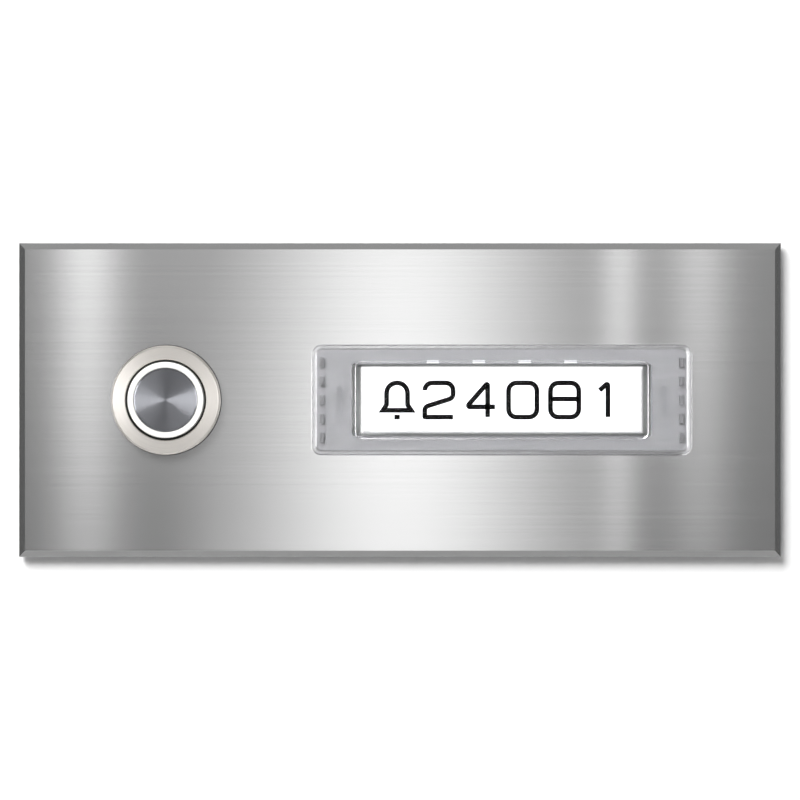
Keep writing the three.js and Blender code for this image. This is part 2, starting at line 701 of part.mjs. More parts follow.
// Each wire starts at x, z from the button's axis, rises straight out, and ends in one pole of the plug.
const WIRES = {
  wire_bell_left: {
    start: [-BLADE_MIDDLE, 0],
    rise: 3.1,
    pole: 1.5,
    route: [
      [-56.6, 32.2, -0.2],
      [-52, 33, -0.7],
      [-44, 31.6, -1.5],
      [-35, 27.4, -2.6],
      [TIE_X, 24.15, -3],
      [-16, 22.6, -3],
      [-6, 22.2, -2.4],
      [1, 21.6, -1.2],
      [4.1, 19, -0.2],
    ],
    drop: 3.2,
  },
  wire_bell_right: {
    start: [BLADE_MIDDLE, 0],
    rise: 1.6,
    pole: -1.5,
    route: [
      [-44.5, 29.2, -0.5],
      [-41.5, 28.4, -1.3],
      [-34, 24.8, -2.5],
      [TIE_X, 21.85, -3],
      [-16, 20, -3],
      [-8, 19, -2],
      [-4, 17.2, -0.6],
    ],
    drop: 2.7,
  },
  wire_light_top: {
    start: [0, LED_PIN.z],
    rise: 2.2,
    pole: 0.5,
    route: [
      [-50.1, 30, 6],
      [-45, 29.6, 4],
      [-36, 26.6, 0.6],
      [TIE_X, 23, -1.85],
      [-16, 21.4, -1.4],
      [-7, 20.8, -0.6],
      [0, 19.6, 0.4],
      [1.75, 17.4, 0.1],
    ],
    drop: 2.7,
  },
  wire_light_bottom: {
    start: [0, -LED_PIN.z],
    rise: 2.2,
    pole: -0.5,
    route: [
      [-50.1, 30, -6.7],
      [-45, 29.4, -6.5],
      [-36, 26.4, -5.4],
      [TIE_X, 23, -4.15],
      [-16, 21.4, -4],
      [-7, 20, -3.4],
      [-2.4, 18.2, -1.5],
      [-0.75, 16.4, -0.2],
    ],
    drop: 2.5,
  },
};

function wire({ start, rise, route, drop, pole }) {
  const [x, z] = [BUTTON_X + start[0], start[1]];
  const plugX = MODULE_X + SOCKET.x + pole * SOCKET.pitch;
  const points = [
    [x, BUTTON_END, z],
    [x, BUTTON_END + rise, z],
    ...route,
    [plugX, PLUG_END + drop, 0],
    [plugX, PLUG_END, 0],
  ];
  const path = points.map((point) => new THREE.Vector3(...point));
  return wireAlong(new THREE.CatmullRomCurve3(path, false, "centripetal"), WIRE_RADIUS, 30, 6);
}

function lead() {
  const group = new THREE.Group();
  for (const [name, course] of Object.entries(WIRES)) {
    place(group, name, wire(course), MATERIAL.rubber);
  }
  const tie = ring(2.1, 2.9, -1.2, 1.2, 20).rotate([0, 0, 90]);
  place(group, "lead_tie", tie, MATERIAL.opal, TIE_X, 23, -3);
  return group;
}

// ---------- assembly ----------
const panel = new THREE.Group();
place(panel, "front_plate", frontPlate(), MATERIAL.plate);
place(panel, "wall_seal", wallSeal(), MATERIAL.rubber);
const [studX, studZ] = [STUD.pitchX / 2, STUD.pitchZ / 2];
[[-1, 1], [1, 1], [1, -1], [-1, -1]].forEach(([x, z], i) => {
  place(panel, `wall_stud_${i + 1}`, wallStud(), MATERIAL.fixing, x * studX, 0, z * studZ);
});
panel.add(buttonAssembly(), nameModule(), lead());

export default panel;
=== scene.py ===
"""Looks of the door intercom panel: fine meshes, materials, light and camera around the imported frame."""
import math

import bmesh
import bpy
from mathutils import Matrix, Vector


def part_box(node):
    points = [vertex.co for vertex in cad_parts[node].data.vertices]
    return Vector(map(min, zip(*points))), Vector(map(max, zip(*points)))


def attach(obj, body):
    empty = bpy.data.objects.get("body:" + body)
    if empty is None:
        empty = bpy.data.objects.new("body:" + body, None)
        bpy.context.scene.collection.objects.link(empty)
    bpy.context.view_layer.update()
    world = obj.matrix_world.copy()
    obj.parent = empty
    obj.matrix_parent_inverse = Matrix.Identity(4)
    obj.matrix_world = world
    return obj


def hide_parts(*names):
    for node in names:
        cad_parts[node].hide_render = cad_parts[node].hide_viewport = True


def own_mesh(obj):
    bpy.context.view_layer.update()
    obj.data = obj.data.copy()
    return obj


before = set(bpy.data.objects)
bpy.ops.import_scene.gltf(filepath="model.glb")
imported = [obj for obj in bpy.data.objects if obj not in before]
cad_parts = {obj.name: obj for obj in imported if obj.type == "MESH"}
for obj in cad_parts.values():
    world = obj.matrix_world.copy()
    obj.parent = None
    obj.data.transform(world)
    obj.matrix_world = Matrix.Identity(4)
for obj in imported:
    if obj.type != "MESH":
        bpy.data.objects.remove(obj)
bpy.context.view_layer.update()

MM = 0.001
TAU = 2 * math.pi


# ---------- places, read from the frame ----------
def middle(node):
    low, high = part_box(node)
    return (low + high) / 2


def size(node):
    low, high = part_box(node)
    return high - low


def front(node):
    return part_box(node)[0].y


def back(node):
    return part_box(node)[1].y


PLATE_FRONT = front("front_plate")
PLATE_BACK = back("front_plate")
BUTTON = middle("button_housing")
MODULE = middle("name_cover")
MODULE.z = 0
AXIS = Vector((BUTTON.x, 0, 0))


def add_object(name, data):
    made = bpy.data.objects.new(name, data)
    bpy.context.scene.collection.objects.link(made)
    return made


# ---------- material nodes ----------
class Nodes:
    """A material's node tree, with its Principled shader at the end."""

    def __init__(self, name, color, roughness, metallic=0.0, **sockets):
        self.material = bpy.data.materials.new(name)
        self.material.use_nodes = True
        self.tree = self.material.node_tree
        self.shader = self.tree.nodes["Principled BSDF"]
        self.output = self.tree.nodes["Material Output"]
        self.shader.inputs["Base Color"].default_value = (*color, 1)
        self.shader.inputs["Roughness"].default_value = roughness
        self.shader.inputs["Metallic"].default_value = metallic
        for socket, value in sockets.items():
            self.shader.inputs[socket.replace("_", " ")].default_value = value
        self.color = color
        self.roughness = roughness

    def add(self, kind, **settings):
        node = self.tree.nodes.new("ShaderNode" + kind)
        for key, value in settings.items():
            setattr(node, key, value)
        return node

    def link(self, source, target):
        self.tree.links.new(source, target)

    def math(self, operation, a, b=None):
        node = self.add("Math", operation=operation)
        return self.feed(node, a, b)

    def feed(self, node, *values):
        """Gives a node's sockets their numbers or links, in order, and returns what the node puts out."""
        for socket, value in zip(node.inputs, values):
            if value is None:
                continue
            if isinstance(value, (int, float)):
                socket.default_value = value
            else:
                self.link(value, socket)
        return node.outputs[0]

    def combine(self, x, y, z=0.0):
        return self.feed(self.add("CombineXYZ"), x, y, z)

    def noise(self, vector, scale=1.0, detail=3.0, rough=0.55):
        node = self.add("TexNoise")
        node.inputs["Scale"].default_value = scale
        node.inputs["Detail"].default_value = detail
        node.inputs["Roughness"].default_value = rough
        self.link(vector, node.inputs["Vector"])
        return node.outputs["Fac"]

    def ramp(self, value, low, high, to_low, to_high):
        node = self.add("MapRange")
        limits = {"From Min": low, "From Max": high, "To Min": to_low, "To Max": to_high}
        for socket, number in limits.items():
            node.inputs[socket].default_value = number
        self.link(value, node.inputs["Value"])
        return node.outputs[0]

    def object_point(self):
        return self.add("TexCoord").outputs["Object"]

    def stretch(self, vector, factors):
        node = self.add("VectorMath", operation="MULTIPLY")
        node.inputs[1].default_value = factors
        self.link(vector, node.inputs[0])
        return node.outputs[0]

    def brush_point(self):
        """U runs across the brush lines and V along them, both in metres."""
        node = self.add("UVMap", uv_map="brush")
        split = self.add("SeparateXYZ")
        self.link(node.outputs[0], split.inputs[0])
        return split.outputs[0], split.outputs[1]

    def tint(self, value, spread):
        """Base colour times 1 - spread to 1 + spread, by a 0 to 1 value."""
        factor = self.ramp(value, 0.25, 0.75, 1 - spread, 1 + spread)
        scale = self.add("VectorMath", operation="SCALE")
        scale.inputs[0].default_value = self.color
        self.link(factor, scale.inputs["Scale"])
        self.link(scale.outputs[0], self.shader.inputs["Base Color"])

    def roughen(self, value, spread):
        rough = self.ramp(value, 0.25, 0.75, self.roughness - spread, self.roughness + spread)
        self.link(rough, self.shader.inputs["Roughness"])

    def mix_in(self, when, shader):
        """Shows another shader in place of the main one, as far as when says."""
        mix = self.add("MixShader")
        self.link(mix.outputs[0], self.output.inputs["Surface"])
        self.feed(mix, when, self.shader.outputs[0], shader.outputs[0])

    def bump(self, value, depth, strength=1.0):
        node = self.add("Bump")
        node.inputs["Strength"].default_value = strength
        node.inputs["Distance"].default_value = depth
        self.link(value, node.inputs["Height"])
        self.link(node.outputs[0], self.shader.inputs["Normal"])


# ---------- materials ----------
def brushed_metal(name, color, roughness, along, anisotropy=0.9, depth=0.006 * MM, spread=0.05, metallic=1.0):
    """Metal with brush lines, fine across U and long along V. along is how fast a line changes on its way."""
    m = Nodes(name, color, roughness, metallic, Anisotropic=anisotropy)
    tangent = m.add("Tangent", direction_type="UV_MAP", uv_map="brush")
    m.link(tangent.outputs[0], m.shader.inputs["Tangent"])
    across, lengthwise = m.brush_point()

    def lines(per_metre, slow):
        return m.noise(m.combine(m.math("MULTIPLY", across, per_metre), m.math("MULTIPLY", lengthwise, slow)))

    fine = lines(4200, along)
    broad = lines(1700, along / 2)
    both = m.math("ADD", m.math("MULTIPLY", fine, 0.5), m.math("MULTIPLY", broad, 0.5))
    m.tint(both, spread)
    m.roughen(fine, 0.004)
    m.bump(fine, depth)
    return m.material


def plain_metal(name, color, roughness, grain=900):
    m = Nodes(name, color, roughness, 1.0)
    cloud = m.noise(m.object_point(), scale=grain, detail=5)
    m.tint(cloud, 0.06)
    m.roughen(cloud, 0.06)
    m.bump(cloud, 0.01 * MM, 0.4)
    return m.material


def moulded(name, color, roughness, texture=2600, depth=0.02 * MM, cloud=(60, 60, 60), spread=0.03):
    """Moulded plastic with a fine spark-eroded texture and a faint change of tone."""
    m = Nodes(name, color, roughness)
    point = m.object_point()
    m.tint(m.noise(m.stretch(point, cloud), detail=3), spread)
    m.roughen(m.noise(point, scale=300, detail=3), 0.04)
    m.bump(m.noise(point, scale=texture, detail=2), depth, 0.35)
    return m.material


def rubber(name, color, roughness):
    m = Nodes(name, color, roughness, 0.0)
    m.shader.inputs["Specular IOR Level"].default_value = 0.3
    point = m.object_point()
    dust = m.noise(point, scale=180, detail=6, rough=0.65)
    m.tint(dust, 0.3)
    m.roughen(dust, 0.06)
    m.bump(m.noise(point, scale=3800, detail=3), 0.03 * MM, 0.5)
    return m.material


def let_lamps_through(m):
    """Lets lamp light pass straight through clear plastic, tinted, as it really does."""
    path = m.add("LightPath")
    see_through = m.add("BsdfTransparent")
    see_through.inputs["Color"].default_value = (*[c * 0.9 for c in m.color], 1)
    m.mix_in(path.outputs["Is Shadow Ray"], see_through)


def clear_plastic(name, color, roughness, texture, depth, index=1.49, shine=0.5):
    m = Nodes(name, color, roughness, 0.0, IOR=index, Specular_IOR_Level=shine)
    m.shader.inputs["Transmission Weight"].default_value = 1.0
    point = m.object_point()
    if depth:
        m.bump(m.noise(point, scale=texture, detail=3), depth, 0.5)
    m.roughen(m.noise(point, scale=220, detail=3), roughness * 0.2)
    let_lamps_through(m)
    return m.material


def ink(name, color, roughness):
    """Dull printing ink, a little uneven."""
    m = Nodes(name, color, roughness, Specular_IOR_Level=0.05)
    m.tint(m.noise(m.object_point(), scale=900), 0.2)
    return m.material


def whitened_edge(name, color, roughness):
    """A chamfer of clear plastic given a mostly white colour, painted light for the card and highlights seen
    through it, and a little see-through.
    """
    m = Nodes(name, color, roughness, Alpha=0.7)
    m.tint(m.noise(m.object_point(), scale=400), 0.04)
    return m.material


def glowing_plastic(name, color, roughness, glow):
    # Plastic with an even glow in its own colour. On the light ring the glow is painted light that brightens
    # it.
    m = Nodes(name, color, roughness, 0.0)
    m.shader.inputs["Emission Color"].default_value = (*color, 1)
    m.shader.inputs["Emission Strength"].default_value = glow
    point = m.object_point()
    m.tint(m.noise(point, scale=250, detail=3), 0.015)
    m.bump(m.noise(point, scale=2400, detail=2), 0.01 * MM, 0.3)
    return m.material


MATERIALS = {
    "brushed_plate": brushed_metal(
        "brushed_plate", (0.62, 0.62, 0.62), 0.12, along=9, anisotropy=1.0, depth=0.0012 * MM, spread=0.065,
        metallic=0.86,
    ),
    # The ground bevels get a darker grey than the plate's steel: painted shade that dims them.
    "ground_bevel_shaded": brushed_metal("ground_bevel_shaded", (0.41, 0.41, 0.41), 0.09, 30, 0.0, 0.001 * MM),
    "turned_head": brushed_metal("turned_head", (0.90, 0.86, 0.81), 0.42, 60, 0.3, 0.002 * MM, 0.04),
    "spun_cap": brushed_metal("spun_cap", (0.33, 0.335, 0.36), 0.24, 60, 1.0, 0.002 * MM, 0.05),
    # Near-black steel for the bore round the light ring: painted shadow for the gap.
    "painted_shadow_gap": plain_metal("painted_shadow_gap", (0.06, 0.058, 0.055), 0.5),
    "fixing_steel": plain_metal("fixing_steel", (0.60, 0.60, 0.61), 0.3),
    "thread_steel": plain_metal("thread_steel", (0.66, 0.65, 0.64), 0.26),
    "spring_steel": plain_metal("spring_steel", (0.66, 0.67, 0.68), 0.22),
    "contact_brass": plain_metal("contact_brass", (0.78, 0.62, 0.36), 0.3),
    # The light ring's glow is painted light, which brightens it to near white.
    "ring_lens": glowing_plastic("ring_lens", (0.77, 0.77, 0.74), 0.3, 0.16),
    "clear_cover": clear_plastic("clear_cover", (0.93, 0.93, 0.938), 0.18, 900, 0.006 * MM, 1.3, 0.2),
    "clear_window": clear_plastic("clear_window", (0.98, 0.98, 0.985), 0.02, 0, 0, 1.08),
    # The window's chamfers are mostly white: painted light for the card and highlights seen through them.
    "window_edge": whitened_edge("window_edge", (0.82, 0.82, 0.83), 0.4),
    "holder_plastic": moulded("holder_plastic", (0.2, 0.2, 0.206), 0.5, cloud=(45, 45, 500), spread=0.1),
    # Darker and paler copies of the holder's grey: painted shade on its teeth, painted light on its latch
    # pads.
    "holder_shade_painted": moulded("holder_shade_painted", (0.12, 0.12, 0.124), 0.5),
    "holder_light_painted": moulded("holder_light_painted", (0.5, 0.5, 0.515), 0.4),
    "opal_plastic": glowing_plastic("opal_plastic", (0.93, 0.94, 0.95), 0.4, 0.35),
    "opal_unlit": moulded("opal_unlit", (0.86, 0.87, 0.87), 0.4),
    "name_card": glowing_plastic("name_card", (0.86, 0.86, 0.875), 0.55, 0.3),
    "print_black": ink("print_black", (0.004, 0.004, 0.004), 0.9),
    "seal_rubber": rubber("seal_rubber", (0.025, 0.025, 0.026), 0.65),
    "black_plastic": moulded("black_plastic", (0.028, 0.029, 0.031), 0.42),
    "circuit_board": moulded("circuit_board", (0.80, 0.82, 0.80), 0.35),
    "led_lens": moulded("led_lens", (0.90, 0.82, 0.45), 0.25),
    "terminal_green": moulded("terminal_green", (0.03, 0.19, 0.10), 0.4),
    "connector_cream": moulded("connector_cream", (0.78, 0.75, 0.66), 0.42),
    "wire_red": moulded("wire_red", (0.42, 0.025, 0.02), 0.35),
    "wire_black": moulded("wire_black", (0.02, 0.02, 0.02), 0.35),
    "wire_white": moulded("wire_white", (0.78, 0.78, 0.76), 0.35),
    "wire_blue": moulded("wire_blue", (0.03, 0.08, 0.32), 0.35),
}


# ---------- mesh building ----------
def fillet(corners, closed=False):
    """Points from (a, b, radius) corners: a corner with a radius becomes an arc."""
    points = []
    count = len(corners)
    for i, (a, b, radius) in enumerate(corners):
        here = Vector((a, b))
        if radius <= 0 or (not closed and i in (0, count - 1)):
            points.append((a, b))
            continue
        to_last = (Vector(corners[i - 1][:2]) - here).normalized()
        to_next = (Vector(corners[(i + 1) % count][:2]) - here).normalized()
        half = math.acos(max(-1, min(1, to_last.dot(to_next)))) / 2
        centre = here + (to_last + to_next).normalized() * radius / math.sin(half)
        start = here + to_last * radius / math.tan(half) - centre
        sweep = start.angle_signed(here + to_next * radius / math.tan(half) - centre)
        steps = max(2, math.ceil(abs(sweep) / math.radians(18)))
        for k in range(steps + 1):
            # angle_signed is clockwise in Blender, so the turn is taken the other way.
            angle = -sweep * k / steps
            c, s = math.cos(angle), math.sin(angle)
            points.append((centre.x + start.x * c - start.y * s, centre.y + start.x * s + start.y * c))
    return points


def finish_mesh(bm, name, material, smooth=35):
    bmesh.ops.remove_doubles(bm, verts=bm.verts, dist=1e-8)
    bmesh.ops.recalc_face_normals(bm, faces=bm.faces)
    mesh = bpy.data.meshes.new(name)
    bm.to_mesh(mesh)
    bm.free()
    mesh.shade_smooth()
    mesh.set_sharp_from_angle(angle=math.radians(smooth))
    mesh.materials.append(MATERIALS[material])
    piece = add_object(name, mesh)
    weighted = piece.modifiers.new("weighted", "WEIGHTED_NORMAL")
    weighted.keep_sharp = True
    weighted.weight = 100
    return piece


def loops_mesh(name, material, loops, closed=False, caps=True, smooth=35):
    """Joins loops of equally many points with quads. closed joins last to first, and caps fills the ends."""
    bm = bmesh.new()
    brush = bm.loops.layers.uv.new("brush")
    rings = [[bm.verts.new(p) for p in loop] for loop in loops]
    pairs = list(zip(rings, rings[1:]))
    if closed:
        pairs.append((rings[-1], rings[0]))
    travelled = 0.0
    for first, second in pairs:
        count = len(first)
        rise = sum((a.co - b.co).length for a, b in zip(first, second)) / count
        around = 0.0
        for i in range(count):
            j = (i + 1) % count
            step = (first[j].co - first[i].co).length
            corners = [first[i], first[j], second[j], second[i]]
            places = [(travelled, around), (travelled, around + step)]
            places += [(travelled + rise, around + step), (travelled + rise, around)]
            face = bm.faces.new(corners)
            for corner, place in zip(face.loops, places):
                corner[brush].uv = place
            around += step
        travelled += rise
    if caps and not closed:
        bm.faces.new(rings[0])
        bm.faces.new(rings[-1])
    return finish_mesh(bm, name, material, smooth)


def circle(radius, y, centre=AXIS, segments=128):
    return ring_loop(lambda angle: radius, lambda angle: y, centre, segments)


def ring_loop(radius_at, y_at, centre=AXIS, segments=128):
    """A loop round an axis along Y, whose radius and depth may change with the angle."""
    loop = []
    for i in range(segments):
        angle = TAU * i / segments
        radius = radius_at(angle)
        x, z = centre.x + radius * math.cos(angle), centre.z + radius * math.sin(angle)
        loop.append(Vector((x, y_at(angle), z)))
    return loop


def lathe(name, material, corners, centre=AXIS, segments=128, smooth=35):
    """A profile of (radius, y, fillet) turned about an axis along Y. It ends on the axis, or closes."""
    on_axis = corners[0][0] == 0
    profile = fillet(corners, closed=not on_axis)
    bm = bmesh.new()
    brush = bm.loops.layers.uv.new("brush")
    rings = []
    for radius, y in profile:
        if radius < 1e-7:
            rings.append([bm.verts.new((centre.x, y, centre.z))])
        else:
            rings.append([bm.verts.new(p) for p in circle(radius, y, centre, segments)])
    reach = max(radius for radius, _ in profile)
    pairs = [(k, k + 1) for k in range(len(rings) - 1)]
    if not on_axis:
        pairs.append((len(rings) - 1, 0))
    travelled = 0.0
    for a, b in pairs:
        step = math.dist(profile[a], profile[b])
        for i in range(segments):
            j = (i + 1) % segments
            angle, next_angle = TAU * i / segments, TAU * (i + 1) / segments
            corners_uv = [(rings[a][i % len(rings[a])], travelled, angle)]
            if len(rings[a]) > 1:
                corners_uv.append((rings[a][j], travelled, next_angle))
            if len(rings[b]) > 1:
                corners_uv.append((rings[b][j], travelled + step, next_angle))
            corners_uv.append((rings[b][i % len(rings[b])], travelled + step, angle))
            face = bm.faces.new([c[0] for c in corners_uv])
            for loop, (_, u, v) in zip(face.loops, corners_uv):
                loop[brush].uv = (u, v * reach)
        travelled += step
    return finish_mesh(bm, name, material, smooth)


def rounded_rectangle(width, height, corner, y, centre=None, steps=6):
    """The loop of a rectangle with rounded corners, counter-clockwise as seen from the back."""
    centre = centre or MODULE
    corner = max(corner, 0.02 * MM)
    loop = []
    for quarter, (sx, sz) in enumerate([(1, 1), (-1, 1), (-1, -1), (1, -1)]):
        cx = centre.x + sx * (width / 2 - corner)
        cz = centre.z + sz * (height / 2 - corner)
        for k in range(steps + 1):
            angle = math.pi / 2 * (quarter + k / steps)
            loop.append(Vector((cx + corner * math.cos(angle), y, cz + corner * math.sin(angle))))
    return loop


def block(bm, low, high, edge):
    """Adds a box with rounded edges to a mesh being built."""
    low, high = Vector(low), Vector(high)
    made = bmesh.ops.create_cube(bm, size=1)["verts"]
    for vert in made:
        vert.co = (low + high) / 2 + Vector(c * s for c, s in zip(vert.co, high - low))
    edges = {e for v in made for e in v.link_edges}
    bmesh.ops.bevel(bm, geom=list(edges), offset=edge, segments=3, profile=0.5, affect="EDGES")


def blocks(name, material, boxes, edge):
    bm = bmesh.new()
    for low, high in boxes:
        block(bm, low, high, edge)
    return finish_mesh(bm, name, material)


def put(piece, body, slot, *nodes):
    """Makes a piece ride on a body and stand for CAD nodes, which it hides. slot is not used."""
    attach(piece, body)
    if nodes:
        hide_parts(*nodes)
    return piece


def keep(node, material, edge=0.0):
    """Gives a CAD node its material, and softens its edges where edge says how much."""
    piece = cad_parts[node]
    piece.data.materials.clear()
    piece.data.materials.append(MATERIALS[material])
    if not edge:
        return
    weld = piece.modifiers.new("weld", "WELD")
    weld.merge_threshold = 1e-6
    flat = piece.modifiers.new("flat", "DECIMATE")
    flat.decimate_type = "DISSOLVE"
    flat.angle_limit = math.radians(1)
    soft = piece.modifiers.new("edges", "BEVEL")
    soft.width = edge
    soft.segments = 2
    soft.limit_method = "ANGLE"
    soft.angle_limit = math.radians(40)
    soft.harden_normals = False


# ---------- plate ----------
BUTTON_HOLE = 22.4 * MM
NAME_SLOT = (78.0 * MM, 19.6 * MM)


def front_plate():
    """A plate with mitred bevels, and the two openings that the button and the name plate module sit in."""
    bevel_width, bevel_depth, arris = 1.45 * MM, 1.2 * MM, 0.03 * MM
    low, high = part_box("front_plate")
    bm = bmesh.new()
    brush = bm.loops.layers.uv.new("brush")

    def rectangle(inset, y):
        corners = [(high.x, high.z), (low.x, high.z), (low.x, low.z), (high.x, low.z)]
        signs = [(-1, -1), (1, -1), (1, 1), (-1, 1)]
        return [
            bm.verts.new((x + sx * inset, y, z + sz * inset))
            for (x, z), (sx, sz) in zip(corners, signs)
        ]

    def skin(rings):
        for first, second in zip(rings, rings[1:]):
            for i in range(len(first)):
                j = (i + 1) % len(first)
                bm.faces.new((first[i], first[j], second[j], second[i]))

    def fill(rings):
        edges = [bm.edges.get((ring[i], ring[i - 1])) for ring in rings for i in range(len(ring))]
        bmesh.ops.triangle_fill(bm, use_beauty=True, use_dissolve=False, edges=edges)

    shoulder = low.y + bevel_depth
    outer = [rectangle(arris, high.y), rectangle(0, high.y - arris), rectangle(0, shoulder + arris)]
    outer += [rectangle(arris, shoulder - arris * 0.4), rectangle(bevel_width, low.y)]
    skin(outer)
    hole = BUTTON_HOLE / 2
    wide, tall = NAME_SLOT
    holes = []
    for make in (
        lambda grow, y: circle(hole + grow, y, AXIS, 96),
        lambda grow, y: rounded_rectangle(wide + 2 * grow, tall + 2 * grow, 1.5 * MM + grow, y),
    ):
        rings = [[bm.verts.new(p) for p in make(*section)] for section in (
            (arris, low.y),
            (0, low.y + arris),
            (0, high.y - arris),
            (arris, high.y),
        )]
        skin(rings)
        holes.append(rings)
    fill([outer[-1]] + [rings[0] for rings in holes])
    fill([outer[0]] + [rings[-1] for rings in holes])
    bm.normal_update()
    for face in bm.faces:
        normal = face.normal
        on_end = abs(normal.x) > 0.1 and abs(normal.x) > abs(normal.z)
        for corner in face.loops:
            place = corner.vert.co
            corner[brush].uv = (place.x - place.y, place.z) if on_end else (place.z - place.y, place.x)
        face.material_index = 0 if abs(normal.y) > 0.95 else 1
    plate = finish_mesh(bm, "plate", "brushed_plate", 20)
    # The bevels take the darker steel: painted shade.
    plate.data.materials.append(MATERIALS["ground_bevel_shaded"])
    for polygon in plate.data.polygons:
        polygon.use_smooth = polygon.area < 3 * MM * MM
    put(plate, "panel", "brushed_plate", "front_plate")


def wall_seal():
    """A rubber frame with two raised sealing ribs on the side that meets the wall."""
    low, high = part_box("wall_seal")
    place = middle("wall_seal")
    width, height = high.x - low.x, high.z - low.z
    gap_width, gap_height = 150 * MM, 50 * MM
    rib, sink = 0.7 * MM, 0.35 * MM
    band = (width - gap_width) / 2
    section = [(0.0, low.y), (0.0, high.y - 0.3 * MM)]
    for start in (0.0, band * 0.4, band - 3 * rib):
        section.append((start + 0.3 * MM, high.y))
        section.append((start + 2 * rib, high.y))
        section.append((start + 2.5 * rib, high.y - sink))
    section += [(band - rib * 0.6, high.y - sink), (band, high.y - sink * 1.4), (band, low.y)]
    loops = []
    for inset, y in section:
        corner = 1 * MM + 2 * MM * inset / band
        loops.append(rounded_rectangle(width - 2 * inset, height - 2 * inset, corner, y, place, steps=8))
    frame_seal = loops_mesh("rubber_wall_seal", "seal_rubber", loops, closed=True)
    put(frame_seal, "panel", "seal_rubber", "wall_seal")


# ---------- threads, nuts and screws ----------
def threaded_rod(name, material, centre, major, pitch, start, end, segments, per_pitch=6, core=0.0):
    """A rod along Y with a helical thread of round crests. With a core radius it is a tube."""
    depth = 0.58 * pitch
    count = round((end - start) / pitch * per_pitch)
    loops = []
    for k in range(count + 1):
        y = start + (end - start) * k / count
        to_end = min(y - start, end - y)
        fade = min(1.0, to_end / pitch)

        def crest(angle):
            wave = 0.5 - 0.5 * math.cos(TAU * y / pitch - angle)
            return major - depth * (wave * fade + (1 - fade) * 0.9)

        loops.append(ring_loop(crest, lambda angle: y, centre, segments))
    if not core:
        return loops_mesh(name, material, loops, smooth=60)
    loops.append(circle(core, end, centre, segments))
    loops.append(circle(core, start, centre, segments))
    return loops_mesh(name, material, loops, closed=True, smooth=60)


def wall_studs():
    """Four M4 weld studs, each with a base flange."""
    for i in range(1, 5):
        node = f"wall_stud_{i}"
        low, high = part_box(node)
        centre = (low + high) / 2
        flange_top = low.y + 0.8 * MM
        radius, pitch = 2.0 * MM, 0.7 * MM
        name = f"stud_{i}_thread"
        shank = threaded_rod(name, "fixing_steel", centre, radius, pitch, flange_top, high.y, 32)
        base = lathe(
            f"stud_{i}_base",
            "fixing_steel",
            [
                (0, low.y, 0),
                (3.0 * MM, low.y, 0),
                (3.0 * MM, flange_top, 0.25 * MM),
                (2.2 * MM, flange_top, 0.3 * MM),
                (1.9 * MM, flange_top + 0.6 * MM, 0),
                (0, flange_top + 0.6 * MM, 0),
            ],
            centre,
            48,
        )
        put(shank, "panel", "fixing_steel", node)
        put(base, "panel", "fixing_steel", node)


def panel_nut():
    """A thin hexagon nut: its corners are turned down by a cone at both faces."""
    low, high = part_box("panel_nut")
    flats = (high.z - low.z) / 2
    bore, crown, slope = 11.05 * MM, flats * 0.985, math.tan(math.radians(28))
    segments = 180

    def across(angle):
        return flats / math.cos(angle % (math.pi / 3) - math.pi / 6)

    def loop(radius_at, y_at):
        return ring_loop(radius_at, y_at, AXIS, segments)

    def drop(angle):
        return max(0.0, across(angle) - crown) * slope

    chamfer = 0.4 * MM
    loops = [
        loop(lambda a: bore, lambda a: low.y + chamfer),
        loop(lambda a: bore + chamfer, lambda a: low.y),
        loop(lambda a: min(crown, across(a)), lambda a: low.y),
        loop(across, lambda a: low.y + drop(a) * 0.5),
        loop(across, lambda a: high.y - drop(a)),
        loop(lambda a: min(crown, across(a)), lambda a: high.y),
        loop(lambda a: bore + chamfer, lambda a: high.y),
        loop(lambda a: bore, lambda a: high.y - chamfer),
    ]
    nut = loops_mesh("hex_panel_nut", "fixing_steel", loops, closed=True, smooth=25)
    put(nut, "panel", "fixing_steel", "panel_nut")


def lock_washer():
    """A toothed washer: each tooth is twisted a little out of the washer's plane."""
    low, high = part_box("lock_washer")
    teeth, segments = 18, 288
    outer, root, bore = 14.4 * MM, 13.3 * MM, 11.05 * MM
    twist = 0.12 * MM

    def tooth(angle):
        phase = (angle * teeth / TAU) % 1
        return 1.0 if 0.2 < phase < 0.8 else 0.0

    def loop(radius_at, y_at):
        return ring_loop(radius_at, y_at, AXIS, segments)

    def lean(angle):
        phase = (angle * teeth / TAU) % 1
        return (phase - 0.5) * 2 * twist * tooth(angle)

    rim = [low.y + 0.2 * MM, high.y - 0.2 * MM]
    loops = [
        loop(lambda a: bore, lambda a: rim[0]),
        loop(lambda a: root - 0.3 * MM, lambda a: rim[0]),
        loop(lambda a: root + (outer - root) * tooth(a), lambda a: rim[0] + lean(a)),
        loop(lambda a: root + (outer - root) * tooth(a), lambda a: rim[1] + lean(a)),
        loop(lambda a: root - 0.3 * MM, lambda a: rim[1]),
        loop(lambda a: bore, lambda a: rim[1]),
    ]
    washer = loops_mesh("toothed_washer", "spring_steel", loops, closed=True, smooth=30)
    put(washer, "panel", "fixing_steel", "lock_washer")


